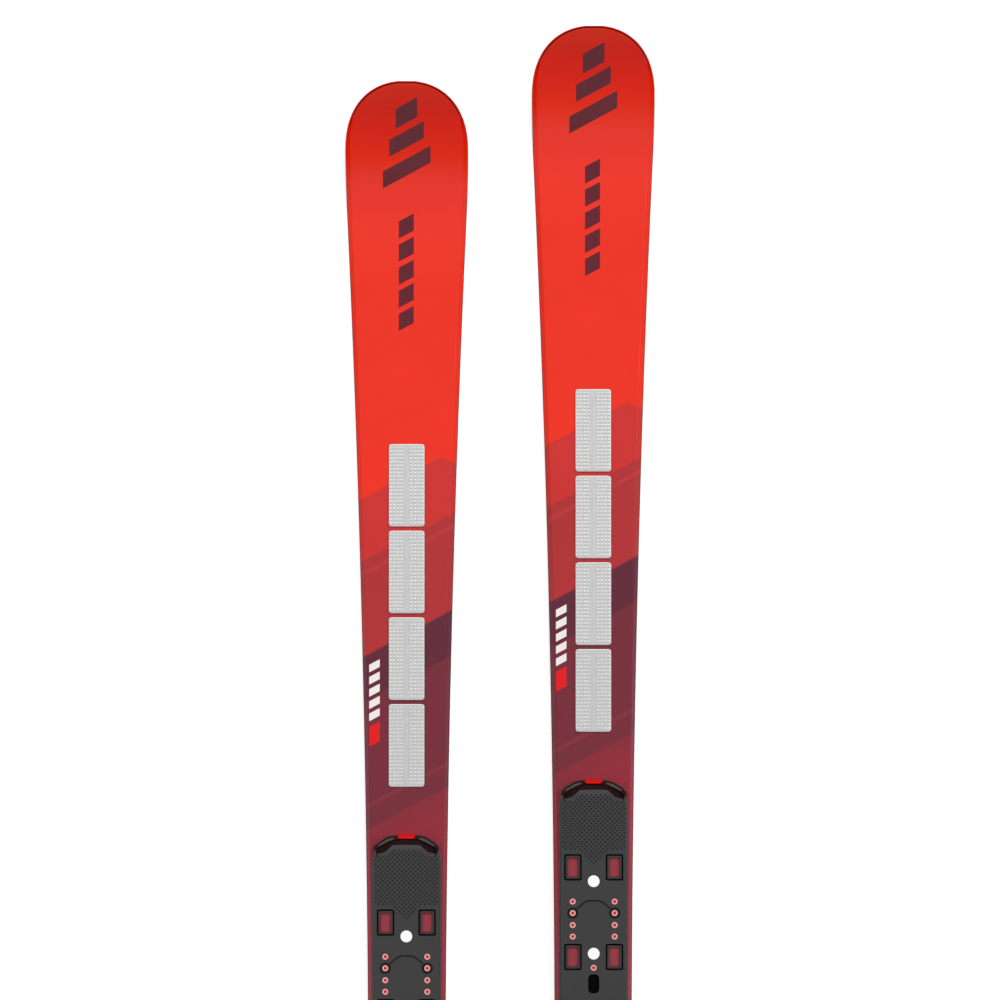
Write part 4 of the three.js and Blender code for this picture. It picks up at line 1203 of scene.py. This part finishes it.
def heel_cup_halves():
    """The cup's solid shape, in two parts: the red shell and the black treadle under it."""
    side = [
        (1206, 87, 2), (1206, 80.7), (1226, 80.9, 3), (1229, 62, 2), (1221, 58.5, 2), (1221, 53.5, 3),
        (1244, 50), (1262, 46.5, 4), (1272, 47.5, 4), (1281, 56), (1294, 69, 4), (1294, 84, 8),
        (1280, 97, 10), (1236, 99.5, 12), (1214, 95, 8),
    ]
    outline = [
        (21, 1205, 5), (29.5, 1214, 6), (29.5, 1239, 3), (24.2, 1244, 3), (24.2, 1278, 8), (17, 1296, 6),
    ]
    shape = worked(
        profile(side, -30, 30, 12),
        ("common", plan(both_sides(outline), 40, 104, 12)),
        ("common", section(both_sides([(30, 40), (30, 84, 8), (22, 102, 8)]), 1200, 1300, 12)),
    )
    seam = 59.6
    halves = [block(-40, 40, 1190, 1310, low, high) for low, high in ((seam, 110), (40, seam))]
    return [worked(shape, ("common", half), ("bevel", bevel, 3)) for half, bevel in zip(halves, (0.9, 0.6))]


def build_heel_cup():
    upper, lower = heel_cup_halves()
    pin_hole = cross_rod(HEEL_PIN_RADIUS + GAP + 0.1, -32, 32, HEEL_PIN_STATION, HEEL_PIN_HEIGHT)
    bore = long_rod(HEEL_BORE_RADIUS, 1240, 1300, HEEL_BORE_HEIGHT, 64)
    window = ((1283, 94.3), (1289.6, 88.2), 4.4)
    panels = []
    for fore, aft, low, high, face in ((1217, 1236, 84.5, 90.5, 29.5), (1250, 1280, 72, 84, 24.2)):
        corners = [(fore, low, 2), (aft, low, 2), (aft, high, 2), (fore, high, 2)]
        panels += pairs(profile(corners, face - 0.8, face + 2, 8))

    def ridge(station):
        ends = [(s, 94.8 + (s - 1214) * 0.204) for s in (station, station + 2)]
        return slanted(*ends, -0.8, 6, 15)

    ridges = [ridge(station) for station in (1217, 1222, 1227)]
    cuts = [pin_hole, bore, window_pocket(*window), *panels]
    upper = worked(upper, ("cut", *cuts), ("cut", *ridges))
    s, high = LEVER_STATION, LEVER_HEIGHT + 5
    lug = profile([(s - 10, 96), (s - 4, high, 4), (s + 4, high, 4), (s + 9, 96)], 9, 13, 10)
    upper = worked(upper, ("add", *pairs(bevelled(lug, 0.5, 2))))
    put("heel_shell", upper, RED_SHELL, "heel_cup", "heel_cup")
    put("heel_treadle", carved(lower, pin_hole), BLACK, "heel_cup")
    pin = cross_rod(LEVER_PIN_RADIUS, -13.5, 13.5, LEVER_STATION, LEVER_HEIGHT, 32)
    put("lever_axle", bevelled(pin, 0.4, 2), SPRING, "heel_cup")
    put_window("heel_window", *window, "heel_cup")
    spring = coil(HEEL_BORE_RADIUS - 0.7 - 1.4, 1.4, 1243, 1280, HEEL_BORE_HEIGHT)
    put("heel_coil", spring, SPRING, "heel_cup", "heel_spring", smooth=60, weighted=False)
    plug = slotted_plug(HEEL_BORE_RADIUS - 0.5, 1281, 1293, HEEL_BORE_HEIGHT, -2)
    put("heel_release_plug", plug, CAST, "heel_release_screw", "heel_release_screw")


def build_heel_lever():
    s, height = LEVER_STATION, LEVER_HEIGHT
    side = [(0, 4.9), (0, -1.5), (9, -3), (66, 11, 2), (68, 16, 2), (40, 13, 10)]
    outline = [(8.6, -6), (8.6, 11), (15, 20, 5), (19, 50, 8), (13, 70, 5)]
    blade = worked(
        profile(moved(side, s, height), -19, 19, 12),
        ("common", plan(both_sides(moved(outline, 0, s)), height - 10, height + 30, 12)),
        ("add", cross_rod(5, -8.6, 8.6, s, height)),
        ("bevel", 0.8, 3, 40),
    )
    dimple = upright_rod(7, 0, s + 52, height + 11.2, height + 30, 64)
    hole = cross_rod(LEVER_PIN_RADIUS + GAP + 0.1, -10, 10, s, height, 32)
    ribs = []
    for rib in range(1266, 1279, 4):
        ribs.append(block(-8.5, 8.5, rib, rib + 1.6, height + 4.2 + (rib - s) * 0.2, height + 30))
    put("heel_handle", carved(blade, dimple, hole, *ribs), BLACK, "heel_lever", "heel_lever")


# --- the ski brake

BRAKE_STATION, BRAKE_HEIGHT, WIRE_RADIUS = 1150, 42, 2.6


def build_brake_mount():
    s, height, low = BRAKE_STATION, BRAKE_HEIGHT, BRAKE_HEIGHT - 5
    outline = moved([(22, -46, 4), (26, -38, 4), (26, 8, 3)], 0, s)
    plate = bevelled(plan(both_sides(outline), SEAT, low), 0.5, 2)
    side = moved([(-8, -6), (-5, 5, 4), (5, 5, 4), (8, -6)], s, height)
    bearing = bevelled(profile(side, 19, 25, 12), 0.6)
    hole = cross_rod(WIRE_RADIUS + GAP + 0.1, -30, 30, s, height)
    screws = [(-15, 1112), (15, 1112), (0, 1149)]
    body = worked(plate, ("add", *pairs(bearing)), ("cut", hole, *screw_seats(screws, low)))
    put("brake_mount", body, BLACK, node="brake_base")
    put_screws("brake_mount_screws", screws, low)


def build_brake_bow():
    """A bent wire, with the pedal that the boot presses down and a foot on each arm."""
    s, height, arm_x, pedal_fore, pedal_bottom, pedal_top = BRAKE_STATION, BRAKE_HEIGHT, 40, 1106, 46.4, 50
    under, pedal_bend = pedal_bottom - 1, pedal_fore + 6
    half = [
        (arm_x, 1258, height + 1.5), (arm_x, s + 5, height), (arm_x, s, height, "bend"),
        (arm_x - 5, s, height), (17, s, height), (14, s, height, "bend"), (14, s - 4, height + 0.6),
        (14, pedal_fore + 10, under), (14, pedal_bend, under, "bend"), (10, pedal_bend, under),
    ]
    wire = tube(bent(both_sides(half)), WIRE_RADIUS, 20)
    put("brake_wire", wire, WIRE_STEEL, "brake_bow", "brake_bow", smooth=50, weighted=False)
    outline = moved([(18, 0, 4), (24, 8, 4), (24, 35, 3)], 0, pedal_fore)
    pedal = bevelled(plan(both_sides(outline), pedal_bottom, pedal_top), 0.7)
    grooves = blocks(-17, 17, range(1112, 1137, 4), 1.5, pedal_top - 0.7, pedal_top + 1)
    inner, outer, low, high = 36.6, 43.6, 37, 49.5
    side = [(1212, low + 3, 2), (1250, low, 3), (1264, low + 5, 4), (1264, high, 3), (1212, high - 2, 2)]
    foot = bevelled(profile(side, inner, outer, 10), 0.9)
    grips = blocks(outer - 0.6, outer + 1, range(1222, 1258, 5), 1.6, low + 4, high - 3.6)
    parts = joined(carved(pedal, *grooves), *pairs(carved(foot, *grips)))
    put("brake_pedal_and_feet", parts, BLACK, "brake_bow")


# --- floor, light and camera

FLOOR_REACH, FLOOR_DROP, FLOOR_GLOW = 30, 0.0004, 0.42
SKY_STRENGTH, LAMP_ANGLE = 0.26, 46
LAMPS = {"key": (62, 46, 1.75), "fill": (-68, 44, 0.95), "back": (180, 46, 0.2), "front": (0, 46, 1.4)}
CAMERA_PLACE, CAMERA_LENS = (0, 0.5657, 4.3), 184.3


def build_floor():
    paint = Paint("studio_floor", None, Roughness=0.95, IOR=1.2, Emission_Strength=FLOOR_GLOW)
    paint.shader.inputs["Emission Color"].default_value = grey(1)
    tone = paint.ramp(paint.noise(0.4), (0.2, grey(0.8)), (0.8, grey(0.83)))
    paint.tree.links.new(tone.socket, paint.shader.inputs["Base Color"])
    corners = [(x * FLOOR_REACH, y * FLOOR_REACH, 0) for x, y in ((-1, -1), (1, -1), (1, 1), (-1, 1))]
    mesh = raw_mesh(corners, [(0, 1, 2, 3)])
    place = mesh.attributes.new("place", "FLOAT_VECTOR", "POINT")
    place.data.foreach_set("vector", [c for vertex in mesh.vertices for c in vertex.co])
    mesh.materials.append(paint.material)
    floor = linked("floor", mesh)
    floor.location.z = CAD_BOX[0].z - FLOOR_DROP


def build_light():
    """A dim white sky and four wide lamps, placed by azimuth and elevation."""
    world = bpy.data.worlds.new("studio")
    world.use_nodes = True
    sky = world.node_tree.nodes["Background"].inputs
    sky["Color"].default_value, sky["Strength"].default_value = grey(1), SKY_STRENGTH
    bpy.context.scene.world = world
    for name, (azimuth, elevation, strength) in LAMPS.items():
        lamp = bpy.data.lights.new(name, "SUN")
        lamp.energy, lamp.angle = strength, math.radians(LAMP_ANGLE)
        a, e = math.radians(azimuth), math.radians(elevation)
        towards = Vector((math.sin(a) * math.cos(e), math.cos(a) * math.cos(e), math.sin(e)))
        light = linked(name, lamp)
        light.rotation_mode = "QUATERNION"
        light.rotation_quaternion = towards.to_track_quat("Z", "Y")
        light.location = towards * 5


def build_camera():
    camera = bpy.data.cameras.new("camera")
    camera.sensor_width, camera.lens = 36, CAMERA_LENS
    camera.clip_start, camera.clip_end = 0.1, 100
    view = linked("camera", camera)
    view.location = CAMERA_PLACE
    bpy.context.scene.camera = view
    bpy.context.scene.view_settings.view_transform = "Standard"


build_ski()
build_dampers()
build_front_plate()
build_front_fittings()
build_rear_plate()
build_tail_guard()
build_toe_base()
build_toe_housing()
build_toe_wings()
build_friction_pad()
build_heel_track()
build_heel_carriage()
build_heel_cup()
build_heel_lever()
build_brake_mount()
build_brake_bow()
build_floor()
build_light()
build_camera()
